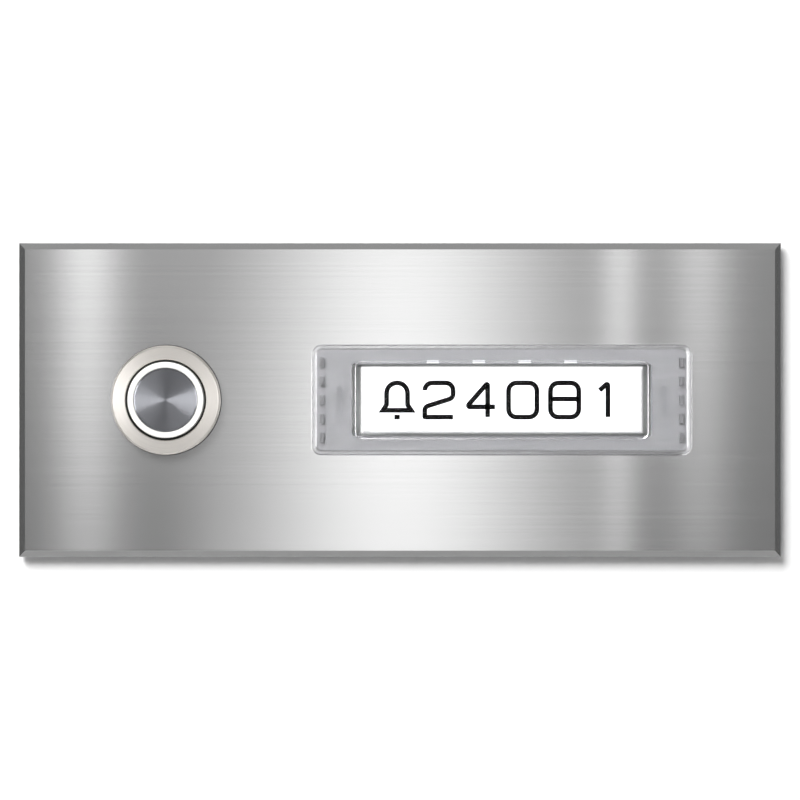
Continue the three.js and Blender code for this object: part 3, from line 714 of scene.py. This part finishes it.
# ---------- push button ----------
def button_housing():
    """The turned head with its lip round the light ring, and the threaded barrel behind the plate."""
    low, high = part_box("button_housing")
    head = (high.z - low.z) / 2
    lip, bore, barrel_bore, rear_bore = 9.1 * MM, 8.68 * MM, 8.7 * MM, 9.4 * MM
    seat = PLATE_FRONT - 0.6 * MM
    shoulder = 3.6 * MM
    profile = [
        (lip, low.y, 0.12 * MM),
        (head - 0.45 * MM, low.y + 0.2 * MM, 0.3 * MM),
        (head, low.y + 0.65 * MM, 0.25 * MM),
        (head, seat, 0.15 * MM),
        (10.3 * MM, seat, 0),
        (10.3 * MM, seat + 1 * MM, 0),
        (barrel_bore, seat + 1 * MM, 0),
        (bore, low.y + 0.75 * MM, 0.05 * MM),
        (lip - 0.12 * MM, low.y + 0.35 * MM, 0.05 * MM),
    ]
    turned = lathe("button_head", "turned_head", profile, segments=192)
    # The bore's faces round the light ring take near-black steel: painted shadow for the gap between the ring
    # and the head.
    turned.data.materials.append(MATERIALS["painted_shadow_gap"])
    for polygon in turned.data.polygons:
        polygon.material_index = 1 if (polygon.center - AXIS).xz.length < bore + 0.2 * MM else 0
    put(turned, "panel", "turned_head", "button_housing")
    crest, pitch = 10.98 * MM, 1.0 * MM
    thread = threaded_rod("button_thread", "thread_steel", AXIS, crest, pitch, seat, high.y, 96, 7, rear_bore)
    put(thread, "panel", "turned_head", "button_housing")
    sleeve = [
        (barrel_bore, seat + 1 * MM, 0),
        (rear_bore + 0.2 * MM, seat + 1 * MM, 0),
        (rear_bore + 0.2 * MM, shoulder, 0),
        (barrel_bore, shoulder, 0),
    ]
    put(lathe("button_bore", "thread_steel", sleeve, segments=96), "panel", "turned_head", "button_housing")


def push_cap():
    """A dished stainless disc with a fine rolled rim."""
    low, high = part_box("push_cap")
    radius = (high.z - low.z) / 2
    dish = 0.28 * MM
    profile = [
        (0, low.y + dish, 0),
        (radius * 0.5, low.y + dish * 0.55, 0),
        (radius - 0.35 * MM, low.y + 0.02 * MM, 0.1 * MM),
        (radius, low.y + 0.1 * MM, 0.1 * MM),
        (radius, low.y + 1 * MM, 0.1 * MM),
        (6.4 * MM, low.y + 1 * MM, 0),
        (6.4 * MM, high.y, 0),
        (5.6 * MM, high.y, 0),
        (5.6 * MM, low.y + 1.1 * MM, 0),
        (0, low.y + 1.1 * MM, 0),
    ]
    put(lathe("dished_cap", "spun_cap", profile, segments=192, smooth=30), "button", "spun_cap", "push_cap")


def light_ring():
    """The translucent ring between the cap and the head."""
    low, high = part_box("light_ring")
    outer = (high.z - low.z) / 2
    inner, guide = 7.18 * MM, 6.7 * MM
    seat = low.y + 1.12 * MM
    profile = [
        (inner, low.y + 0.02 * MM, 0.08 * MM),
        (outer, low.y, 0.22 * MM),
        (outer, high.y, 0.1 * MM),
        (guide, high.y, 0.1 * MM),
        (guide, seat, 0),
        (inner, seat, 0),
    ]
    put(lathe("glow_ring", "ring_lens", profile, segments=192), "button", "ring_lens", "light_ring")


def coil(name, node, turns, wire, moving_end):
    """A coil spring that rides with the button when its moving end is high, and with the panel otherwise."""
    low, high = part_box(node)
    centre = (low + high) / 2
    radius = (high.x - low.x) / 2 - wire
    curve = bpy.data.curves.new(name, "CURVE")
    curve.dimensions = "3D"
    spline = curve.splines.new("POLY")
    steps = turns * 28
    spline.points.add(steps)
    for k in range(steps + 1):
        share = k / steps
        angle = TAU * turns * share
        # The end turns lie flat, and the turns between them climb.
        climb = min(1.0, max(0.0, (share * turns - 0.75) / (turns - 1.5)))
        y = low.y + wire + (high.y - low.y - 2 * wire) * climb
        x, z = centre.x + radius * math.cos(angle), centre.z + radius * math.sin(angle)
        spline.points[k].co = (x, y, z, 1)
    curve.bevel_depth = wire
    curve.bevel_resolution = 3
    curve.use_fill_caps = True
    source = add_object(name + "_curve", curve)
    bpy.context.view_layer.update()
    mesh = bpy.data.meshes.new_from_object(source)
    bpy.data.objects.remove(source)
    mesh.shade_smooth()
    mesh.materials.clear()
    mesh.materials.append(MATERIALS["spring_steel"])
    piece = add_object(name, mesh)
    body = "button" if moving_end == "high" else "panel"
    put(piece, body, "spring_steel", node)
    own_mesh(piece)


def head_seal():
    """The rubber ring under the head, which shows as a thin dark edge."""
    low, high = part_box("head_seal")
    bore, rim = 11.15 * MM, (high.x - low.x) / 2
    seal = [
        (bore, low.y, 0),
        (rim, low.y, 0.15 * MM),
        (rim, high.y, 0.15 * MM),
        (bore, high.y, 0),
    ]
    put(lathe("head_gasket", "seal_rubber", seal), "panel", "seal_rubber", "head_seal")


def push_button():
    button_housing()
    push_cap()
    light_ring()
    head_seal()
    panel_nut()
    lock_washer()
    coil("return_coil", "return_spring", 4, 0.28 * MM, "low")
    coil("contact_coil", "contact_spring", 4, 0.16 * MM, "high")
    keep("plunger", "opal_unlit")
    keep("plunger_seal", "seal_rubber")
    keep("retaining_clip", "spring_steel")
    keep("contact_bridge", "contact_brass")
    keep("switch_frame", "black_plastic")
    keep("terminal_base", "black_plastic", 0.15 * MM)
    keep("ring_led_board", "circuit_board")
    for i in range(1, 5):
        keep(f"ring_led_{i}", "led_lens")
    for node in ("fixed_contact_left", "fixed_contact_right", "led_pin_top", "led_pin_bottom"):
        keep(node, "contact_brass", 0.06 * MM)


# ---------- name plate module ----------
WINDOW = {"width": 62.6 * MM, "height": 14.8 * MM, "chamfer": 0.65 * MM}


def name_cover():
    """The satin border of the clip-on cover, open in the middle where the clear window block sits."""
    low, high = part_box("name_cover")
    width, height, corner, wall = high.x - low.x, high.z - low.z, 2.2 * MM, 0.85 * MM
    wide, tall = WINDOW["width"], WINDOW["height"]
    face = front("name_cover") + 0.9 * MM
    inner = face + 1 * MM
    skirt = PLATE_FRONT - 0.2 * MM
    rib_out, rib_in = 1.3 * MM, 0.45 * MM

    def outline(inset, y):
        return rounded_rectangle(width - 2 * inset, height - 2 * inset, corner - inset, y)

    def opening(grow, y):
        return rounded_rectangle(wide + 2 * grow, tall + 2 * grow, 0.25 * MM + grow, y)

    loops = [outline(0.1 * MM, skirt), outline(0, skirt - 0.1 * MM)]
    rim = 0.95 * MM
    for k in range(7):
        angle = math.pi / 2 * k / 6
        loops.append(outline(rim * (1 - math.cos(angle)), face + rim * 0.85 * (1 - math.sin(angle))))
    loops += [
        opening(0.9 * MM, face),
        opening(0.75 * MM, face + 0.12 * MM),
        opening(0.02 * MM, face + 0.12 * MM),
        opening(0.02 * MM, inner + rib_in),
        opening(rib_out - 0.2 * MM, inner + rib_in),
        opening(rib_out, inner + 0.05 * MM),
        outline(wall + 0.3 * MM, inner),
        outline(wall, inner + 0.3 * MM),
        outline(wall, skirt),
    ]
    border = loops_mesh("cover_border", "clear_cover", loops, closed=True, smooth=40)
    put(border, "cover", "clear_cover", "name_cover")

    chamfer, top = WINDOW["chamfer"], low.y
    sections = [
        (0.0, inner),
        (0.0, top + chamfer),
        (chamfer * 0.92, top + chamfer * 0.06),
        (chamfer * 1.1, top),
    ]
    window_loops = [
        rounded_rectangle(wide - 2 * inset, tall - 2 * inset, 0.25 * MM, y, steps=3)
        for inset, y in sections
    ]
    window = loops_mesh("cover_window", "clear_window", window_loops, smooth=20)
    window.data.materials.append(MATERIALS["window_edge"])
    # The chamfers take the mostly white edge: painted light.
    for polygon in window.data.polygons:
        on_chamfer = polygon.center.y < top + chamfer * 0.9 and abs(polygon.normal.y) < 0.99
        polygon.material_index = 1 if on_chamfer else 0
    put(window, "cover", "clear_cover", "name_cover")
    half_thick, half_tall = 0.55 * MM, 3 * MM
    fingers = []
    for side in (-1, 1):
        x = MODULE.x + side * 36 * MM
        fingers.append(((x - half_thick, inner, -half_tall), (x + half_thick, high.y, half_tall)))
    put(blocks("cover_fingers", "clear_cover", fingers, 0.15 * MM), "cover", "clear_cover", "name_cover")


def name_card():
    """The white card, and a bell sign with a house number printed on it."""
    low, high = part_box("name_card")
    width, height = high.x - low.x, high.z - low.z
    loops = [rounded_rectangle(width, height, 0.3 * MM, y, steps=3) for y in (low.y, high.y)]
    put(loops_mesh("card", "name_card", loops), "card", "name_card", "name_card")
    bm = bmesh.new()
    glyphs = [BELL] + [DIGITS[digit] for digit in HOUSE_NUMBER]
    advance = GLYPH["width"] + GLYPH["gap"]
    left = MODULE.x - (advance * len(glyphs) - GLYPH["gap"]) / 2
    for i, strokes in enumerate(glyphs):
        corner = Vector((left + advance * i, low.y, -GLYPH["height"] / 2))
        for points, closed in strokes:
            stroke(bm, points, closed, corner)
    put(finish_mesh(bm, "house_number", "print_black"), "card", "name_card")


# A bell sign and a house number, as strokes on a unit square. A stroke is its points, each x, y and corner
# radius, and whether it closes.
HOUSE_NUMBER = "24081"
GLYPH = {"width": 6.3 * MM, "height": 7.6 * MM, "gap": 3.0 * MM, "stroke": 1.1 * MM}
BELL = [
    (
        [(0, 0.2, 0), (0.13, 0.36, 0.05), (0.13, 1, 0.36), (0.87, 1, 0.36), (0.87, 0.36, 0.05), (1, 0.2, 0)],
        True,
    ),
    ([(0.4, 0.0, 0), (0.6, 0.0, 0)], False),
]
DIGITS = {
    "0": [([(0, 0, 0.28), (0, 1, 0.28), (1, 1, 0.28), (1, 0, 0.28)], True)],
    "1": [([(0.25, 0.78, 0), (0.55, 1, 0.04), (0.55, 0, 0)], False)],
    "2": [
        (
            [
                (0, 0.78, 0), (0, 1, 0.26), (1, 1, 0.26), (1, 0.56, 0.2),
                (0, 0.3, 0.16), (0, 0, 0.02), (1, 0, 0),
            ],
            False,
        ),
    ],
    "4": [([(0.74, 0, 0), (0.74, 1, 0.03), (0, 0.3, 0.05), (1, 0.3, 0)], False)],
    "8": [
        ([(0, 0, 0.28), (0, 1, 0.28), (1, 1, 0.28), (1, 0, 0.28)], True),
        ([(0, 0.53, 0), (1, 0.53, 0)], False),
    ],
}


def stroke(bm, points, closed, corner):
    """Adds a flat raised line of ink along a stroke."""
    wide, tall, half = GLYPH["width"], GLYPH["height"], GLYPH["stroke"] / 2
    ink = 0.015 * MM
    corners = [(x * wide, y * tall, radius * wide) for x, y, radius in points]
    path = [Vector(p) for p in fillet(corners, closed)]
    count = len(path)
    rings = []
    for i, here in enumerate(path):
        before = path[i - 1] if closed or i > 0 else None
        after = path[(i + 1) % count] if closed or i < count - 1 else None
        incoming = (here - before).normalized() if before else (after - here).normalized()
        outgoing = (after - here).normalized() if after else incoming
        normal = Vector((-(incoming + outgoing).y, (incoming + outgoing).x)).normalized()
        mitre = half / max(0.3, normal.dot(Vector((-incoming.y, incoming.x))))
        sides = [here + normal * mitre, here - normal * mitre]
        ring = [corner + Vector((p.x, -ink, p.y)) for p in sides]
        ring += [corner + Vector((p.x, -0.001 * MM, p.y)) for p in reversed(sides)]
        rings.append([bm.verts.new(p) for p in ring])
    pairs = list(zip(rings, rings[1:]))
    if closed:
        pairs.append((rings[-1], rings[0]))
    else:
        bm.faces.new(rings[0])
        bm.faces.new(rings[-1])
    for first, second in pairs:
        for i in range(4):
            j = (i + 1) % 4
            bm.faces.new((first[i], first[j], second[j], second[i]))


def name_holder():
    """The grey tray behind the cover: flange, walls, five teeth at each end in a darker grey, painted shade,
    and latch pads in a paler grey, painted light.
    """
    flange_front, flange_back = PLATE_FRONT - 1.5 * MM, PLATE_FRONT - 0.5 * MM
    rear = back("name_holder")
    body = (77.4 * MM, 19 * MM)
    flange = (82.4 * MM, 22.6 * MM)
    inside = (74.4 * MM, 16 * MM)
    card_opening = (66.4 * MM, 16 * MM)
    sections = [
        (card_opening, 0.6, flange_front + 0.15 * MM),
        ((card_opening[0] + 0.3 * MM, card_opening[1] + 0.3 * MM), 0.7, flange_front),
        ((flange[0] - 0.3 * MM, flange[1] - 0.3 * MM), 1.4, flange_front),
        (flange, 1.5, flange_front + 0.15 * MM),
        (flange, 1.5, flange_back),
        (body, 1.0, flange_back),
        (body, 1.0, rear - 0.2 * MM),
        ((body[0] - 0.4 * MM, body[1] - 0.4 * MM), 0.9, rear),
        ((75.0 * MM, 16.6 * MM), 0.6, rear),
        ((75.0 * MM, 16.6 * MM), 0.6, 3 * MM),
        (inside, 0.6, 3 * MM),
        (inside, 0.6, flange_back),
        (card_opening, 0.6, flange_back),
    ]
    loops = [rounded_rectangle(w, h, corner * MM, y) for (w, h), corner, y in sections]
    tray = loops_mesh("holder_tray", "holder_plastic", loops, closed=True)
    put(tray, "panel", "holder_plastic", "name_holder")
    half = size("name_cover").x / 2 - 2.25 * MM
    teeth, pitch = [], 4.17 * MM
    for side in (-1, 1):
        for row in range(-2, 3):
            x, z = MODULE.x + side * half, row * pitch
            low = (x - 0.5 * MM, flange_front - 0.7 * MM, z - 1.05 * MM)
            high = (x + 0.5 * MM, flange_front, z + 1.05 * MM)
            teeth.append((low, high))
    # The teeth take the darker grey: painted shade.
    put(blocks("holder_teeth", "holder_shade_painted", teeth, 0.1 * MM), "panel", "holder_plastic", "name_holder")
    pads = []
    for step in (-1.5, -0.5, 0.5, 1.5):
        x = MODULE.x + step * 10.2 * MM
        low = (x - 1.4 * MM, flange_front - 0.6 * MM, 8.15 * MM)
        high = (x + 1.4 * MM, flange_front, 8.85 * MM)
        pads.append((low, high))
    # The pads take the paler grey: painted light.
    put(blocks("holder_pads", "holder_light_painted", pads, 0.1 * MM), "panel", "holder_plastic", "name_holder")


def pan_screw(name, node, direction):
    """A slotted pan-head screw that stands for a CAD screw. direction points from its tip to its head."""
    low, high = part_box(node)
    centre = (low + high) / 2
    direction = Vector(direction)
    head_end = centre + Vector(d * s / 2 for d, s in zip(direction, high - low))
    radius, thick = 1.9 * MM, 1.25 * MM
    profile = [
        (0, -0.02 * MM, 0),
        (radius, -0.02 * MM, 0),
        (radius, 0.45 * MM, 0.35 * MM),
        (radius * 0.6, thick, 0.6 * MM),
        (0, thick, 0),
    ]
    head = lathe(name, "fixing_steel", profile, Vector((0, 0, 0)), 48)
    slot_box = ((-3 * MM, 0.65 * MM, -0.25 * MM), (3 * MM, 3 * MM, 0.25 * MM))
    cutter = blocks(name + "_cutter", "fixing_steel", [slot_box], 0.02 * MM)
    slot = head.modifiers.new("slot", "BOOLEAN")
    slot.operation = "DIFFERENCE"
    slot.solver = "EXACT"
    slot.object = cutter
    bpy.context.view_layer.update()
    evaluated = head.evaluated_get(bpy.context.evaluated_depsgraph_get())
    mesh = bpy.data.meshes.new_from_object(evaluated)
    for leftover in (head, cutter):
        bpy.data.objects.remove(leftover)
    turn = Vector((0, 1, 0)).rotation_difference(direction).to_matrix().to_4x4()
    mesh.transform(turn)
    mesh.transform(Matrix.Translation(head_end - direction * thick))
    mesh.set_sharp_from_angle(angle=math.radians(35))
    piece = add_object(name, mesh)
    put(piece, "panel", "fixing_steel", node)


def module_back():
    keep("holder_back_cap", "holder_plastic", 0.25 * MM)
    keep("holder_seal", "seal_rubber")
    keep("card_diffuser", "opal_plastic")
    keep("backlight_board", "circuit_board")
    keep("led_resistor", "black_plastic")
    for i in range(1, 5):
        keep(f"backlight_led_{i}", "led_lens")
    for side in ("left", "right"):
        keep(f"holder_clip_{side}", "spring_steel", 0.12 * MM)
    keep("terminal_block", "terminal_green", 0.15 * MM)
    keep("lead_socket", "connector_cream", 0.15 * MM)
    keep("lead_plug", "connector_cream", 0.15 * MM)
    pan_screw("cap_fixing_left", "cap_screw_left", (0, 1, 0))
    pan_screw("cap_fixing_right", "cap_screw_right", (0, 1, 0))
    pan_screw("clip_fixing_left", "clip_screw_left", (-1, 0, 0))
    pan_screw("clip_fixing_right", "clip_screw_right", (1, 0, 0))
    for i in range(1, 5):
        keep(f"terminal_screw_{i}", "fixing_steel", 0.08 * MM)


# ---------- lead between the button and the module ----------
# Each wire's route in millimetres between the button's terminals and the plug: a point it rises to from its
# terminal, the bends on its way, and its pole in the plug.
WIRES = {
    "wire_bell_left": {
        "terminal": "fixed_contact_left",
        "rise": 3.1,
        "route": [
            (-56.6, 32.2, -0.2), (-52, 33, -0.7), (-44, 31.6, -1.5), (-35, 27.4, -2.6), (-25, 24.15, -3),
            (-16, 22.6, -3), (-6, 22.2, -2.4), (1, 21.6, -1.2), (4.1, 19, -0.2),
        ],
        "drop": 3.2,
        "pole": 1.5,
    },
    "wire_bell_right": {
        "terminal": "fixed_contact_right",
        "rise": 1.6,
        "route": [
            (-44.5, 29.2, -0.5), (-41.5, 28.4, -1.3), (-34, 24.8, -2.5), (-25, 21.85, -3),
            (-16, 20, -3), (-8, 19, -2), (-4, 17.2, -0.6),
        ],
        "drop": 2.7,
        "pole": -1.5,
    },
    "wire_light_top": {
        "terminal": "led_pin_top",
        "rise": 2.2,
        "route": [
            (-50.1, 30, 6), (-45, 29.6, 4), (-36, 26.6, 0.6), (-25, 23, -1.85),
            (-16, 21.4, -1.4), (-7, 20.8, -0.6), (0, 19.6, 0.4), (1.75, 17.4, 0.1),
        ],
        "drop": 2.7,
        "pole": 0.5,
    },
    "wire_light_bottom": {
        "terminal": "led_pin_bottom",
        "rise": 2.2,
        "route": [
            (-50.1, 30, -6.7), (-45, 29.4, -6.5), (-36, 26.4, -5.4), (-25, 23, -4.15),
            (-16, 21.4, -4), (-7, 20, -3.4), (-2.4, 18.2, -1.5), (-0.75, 16.4, -0.2),
        ],
        "drop": 2.5,
        "pole": -0.5,
    },
}
POLE_PITCH = 2.5 * MM
WIRE_COLOURS = {
    "wire_bell_left": "wire_red",
    "wire_bell_right": "wire_black",
    "wire_light_top": "wire_white",
    "wire_light_bottom": "wire_blue",
}
WIRE_RADIUS = 0.65 * MM


def terminal_place(name):
    """The middle of a blade or pin's rear end."""
    low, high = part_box(name)
    half_blade = 0.25 * MM
    x = middle(name).x
    if name == "fixed_contact_left":
        x = low.x + half_blade
    if name == "fixed_contact_right":
        x = high.x - half_blade
    return Vector((x, high.y, middle(name).z))


def wire_points(course):
    start = terminal_place(course["terminal"])
    plug = middle("lead_plug")
    plug_x, plug_y = plug.x + course["pole"] * POLE_PITCH, back("lead_plug") - 1.7 * MM
    points = [start + Vector((0, 0.4 * MM, 0)), start + Vector((0, (0.4 + course["rise"]) * MM, 0))]
    points += [Vector(place) * MM for place in course["route"]]
    return points + [Vector((plug_x, plug_y + course["drop"] * MM, 0)), Vector((plug_x, plug_y, 0))]


def lead():
    for node, course in WIRES.items():
        points = wire_points(course)
        curve = bpy.data.curves.new(node + "_insulation", "CURVE")
        curve.dimensions = "3D"
        spline = curve.splines.new("NURBS")
        spline.points.add(len(points) - 1)
        for point, place in zip(spline.points, points):
            point.co = (*place, 1)
        spline.order_u = 4
        spline.use_endpoint_u = True
        spline.resolution_u = 10
        curve.bevel_depth = WIRE_RADIUS
        curve.bevel_resolution = 5
        curve.use_fill_caps = True
        piece = add_object(node + "_insulation", curve)
        piece.data.materials.append(MATERIALS[WIRE_COLOURS[node]])
        put(piece, "panel", WIRE_COLOURS[node], node)
    sleeves()
    tie()


def ellipse(x, y, z, half_x, half_z, segments=32):
    loop = []
    for i in range(segments):
        angle = TAU * i / segments
        loop.append(Vector((x + half_x * math.cos(angle), y, z + half_z * math.sin(angle))))
    return loop


def sleeves():
    """A heat-shrink sleeve over each joint between a wire and its blade or pin."""
    for node, course in WIRES.items():
        x, end, z = terminal_place(course["terminal"])
        wide = "bell" in node
        near = (0.95 * MM, 1.75 * MM) if wide else (1.35 * MM, 0.75 * MM)
        sections = [
            (end - 3.2 * MM, near),
            (end - 0.4 * MM, near),
            (end + 1.0 * MM, (0.85 * MM, 0.85 * MM)),
            (end + 3.0 * MM, (0.8 * MM, 0.8 * MM)),
        ]
        loops = [ellipse(x, y, z, *half_sizes) for y, half_sizes in sections]
        sleeve = loops_mesh(node.replace("wire", "sleeve"), "black_plastic", loops, smooth=50)
        put(sleeve, "panel", "black_plastic")


def tie():
    """A strap round the four wires, and its square head."""
    place, half_width = middle("lead_tie"), size("lead_tie").x / 2
    inner, outer = 2.25 * MM, 2.75 * MM
    strap_loops = []
    for x, radius in ((-half_width, inner), (-half_width, outer), (half_width, outer), (half_width, inner)):
        loop = []
        for i in range(48):
            angle = TAU * i / 48
            y, z = place.y + radius * math.cos(angle), place.z + radius * math.sin(angle)
            loop.append(Vector((place.x + x, y, z)))
        strap_loops.append(loop)
    strap = loops_mesh("tie_strap", "opal_unlit", strap_loops, closed=True)
    put(strap, "panel", "opal_plastic", "lead_tie")
    low = (place.x - 1.7 * MM, place.y - 1.6 * MM, place.z + 2.3 * MM)
    high = (place.x + 1.7 * MM, place.y + 1.6 * MM, place.z + 4.4 * MM)
    put(blocks("tie_head", "opal_unlit", [(low, high)], 0.3 * MM), "panel", "opal_plastic", "lead_tie")


# ---------- stage, light and camera ----------
VIEW_DISTANCE = 0.7
FRAME_WIDTH = 179 * MM


def stage():
    """A floor, and a white wall with a cut-out behind the plate that the rear parts pass through."""
    floor, reach = -1.3, 3.0

    def sheet(name, corners, faces, color):
        mesh = bpy.data.meshes.new(name)
        mesh.from_pydata(corners, [], faces)
        m = Nodes(name, color, 0.9)
        mesh.materials.append(m.material)
        piece = add_object(name, mesh)
        return m

    square = ((-1, -1), (1, -1), (1, 1), (-1, 1))
    ground = [(x * reach, y * reach, floor) for x, y in square]
    sheet("floor", ground, [(0, 1, 2, 3)], (0.86, 0.86, 0.86))
    outer = [(-reach, 0, floor), (reach, 0, floor), (reach, 0, reach), (-reach, 0, reach)]
    half_width, half_height = 80 * MM, 30 * MM
    inner = [(x * half_width, 0, z * half_height) for x, z in square]
    sides = [(i, (i + 1) % 4, 4 + (i + 1) % 4, 4 + i) for i in range(4)]
    m = sheet("wall", outer + inner, sides, (0.93, 0.93, 0.93))
    # The wall shows only from its front, so that the back of the panel can be looked at.
    m.mix_in(m.add("NewGeometry").outputs["Backfacing"], m.add("BsdfTransparent"))


def softbox(name, place, width, height, radiance):
    """A square soft light that faces the middle of the plate."""
    light = bpy.data.lights.new(name, "AREA")
    light.shape = "RECTANGLE"
    light.size = width
    light.size_y = height
    light.energy = radiance * math.pi * width * height
    lamp = add_object(name, light)
    lamp.location = place
    lamp.rotation_euler = (-Vector(place)).to_track_quat("-Z", "Y").to_euler()
    lamp.visible_camera = False
    return lamp


# The front panel light is even but for these soft upright strips. Each is where its reflection sits on the
# plate (mm from the plate's middle), how wide it looks there (mm to where it has faded by about two thirds),
# and how bright it is.
PANEL_STRIPS = [
    (0, 34, 0.60),
    (-70, 7, 0.40),
    (49, 3, 0.40),
    (67, 6, 0.25),
]
PANEL_BASE = 0.08
PANEL_DISTANCE = 0.95
PANEL_HEIGHT = 0.36
PANEL_GAIN = 2.4
PANEL_SIDE_SLOPE = 6


def strip_glow(m, across, spread, middle, width, brightness):
    """One soft strip of the panel: a bell-shaped glow around its middle."""
    offset = m.math("SUBTRACT", across, middle * MM * spread)
    steps = m.math("DIVIDE", offset, width * MM * spread)
    bell = m.math("EXPONENT", m.math("MULTIPLY", m.math("MULTIPLY", steps, steps), -1))
    return m.math("MULTIPLY", bell, brightness)


def graded_panel():
    """A soft light panel in front of the plate, whose upright strips the brushed steel shows as streaks."""
    spread = 1 + PANEL_DISTANCE / VIEW_DISTANCE
    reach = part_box("front_plate")[1].x * spread
    half_width, half_height = reach * 1.6, PANEL_HEIGHT / 2
    mesh = bpy.data.meshes.new("graded_panel")
    corners = [(-half_width, -half_height), (half_width, -half_height)]
    corners += [(half_width, half_height), (-half_width, half_height)]
    mesh.from_pydata([(x, -PANEL_DISTANCE, z) for x, z in corners], [], [(3, 2, 1, 0)])
    m = Nodes("graded_panel", (0, 0, 0), 1)
    split = m.add("SeparateXYZ")
    m.link(m.object_point(), split.inputs[0])
    glow = PANEL_BASE
    for middle, width, brightness in PANEL_STRIPS:
        glow = m.math("ADD", strip_glow(m, split.outputs[0], spread, middle, width, brightness), glow)
    # Towards both ends the panel is brighter above than below.
    side = m.ramp(m.math("ABSOLUTE", split.outputs[0]), reach * 0.5, reach * 0.62, 0, PANEL_SIDE_SLOPE)
    slope = m.math("MAXIMUM", m.math("ADD", m.math("MULTIPLY", side, split.outputs[2]), 1), 0)
    emission = m.add("Emission")
    m.link(m.math("MULTIPLY", m.math("MULTIPLY", glow, slope), PANEL_GAIN), emission.inputs["Strength"])
    m.link(emission.outputs[0], m.output.inputs["Surface"])
    mesh.materials.append(m.material)
    panel = add_object("graded_panel", mesh)
    panel.visible_camera = False
    panel.visible_shadow = False


def lights():
    """A key from the upper left, strips and flanks at the sides, one overhead, and two for the back."""
    graded_panel()
    key = softbox("key", (-0.48, -1.0, 0.74), 0.72, 0.72, 15.5)
    key.visible_glossy = False
    for side in (-1, 1):
        strip = softbox("side_strip", (side * 0.56, -0.85, 0.05), 0.3, 0.4, 6.0)
        strip.visible_diffuse = False
        flank = softbox("flank", (side * 1.7, -1.0, 0.1), 1.3, 1.6, 0.6)
        flank.visible_diffuse = False
    softbox("overhead", (0, -0.35, 1.4), 1.6, 0.7, 0.45)
    softbox("rear_key", (0.7, 1.1, 0.8), 0.9, 0.9, 5.0)
    softbox("rear_fill", (-1.0, 0.9, 0.1), 0.8, 0.8, 2.5)
    world = bpy.data.worlds.new("studio")
    bpy.context.scene.world = world
    world.use_nodes = True
    background = world.node_tree.nodes["Background"]
    background.inputs["Color"].default_value = (0.9, 0.9, 0.9, 1)
    background.inputs["Strength"].default_value = 0.25


def camera():
    data = bpy.data.cameras.new("camera")
    data.sensor_width = 36
    data.lens = 36 * (VIEW_DISTANCE + PLATE_BACK) / FRAME_WIDTH
    data.clip_start = 0.01
    eye = add_object("camera", data)
    eye.location = (0, -VIEW_DISTANCE, 0)
    eye.rotation_euler = (math.pi / 2, 0, 0)
    bpy.context.scene.camera = eye


camera()
stage()
lights()
bpy.context.scene.view_settings.view_transform = "Standard"

front_plate()
wall_seal()
wall_studs()
push_button()
name_cover()
name_card()
name_holder()
module_back()
lead()
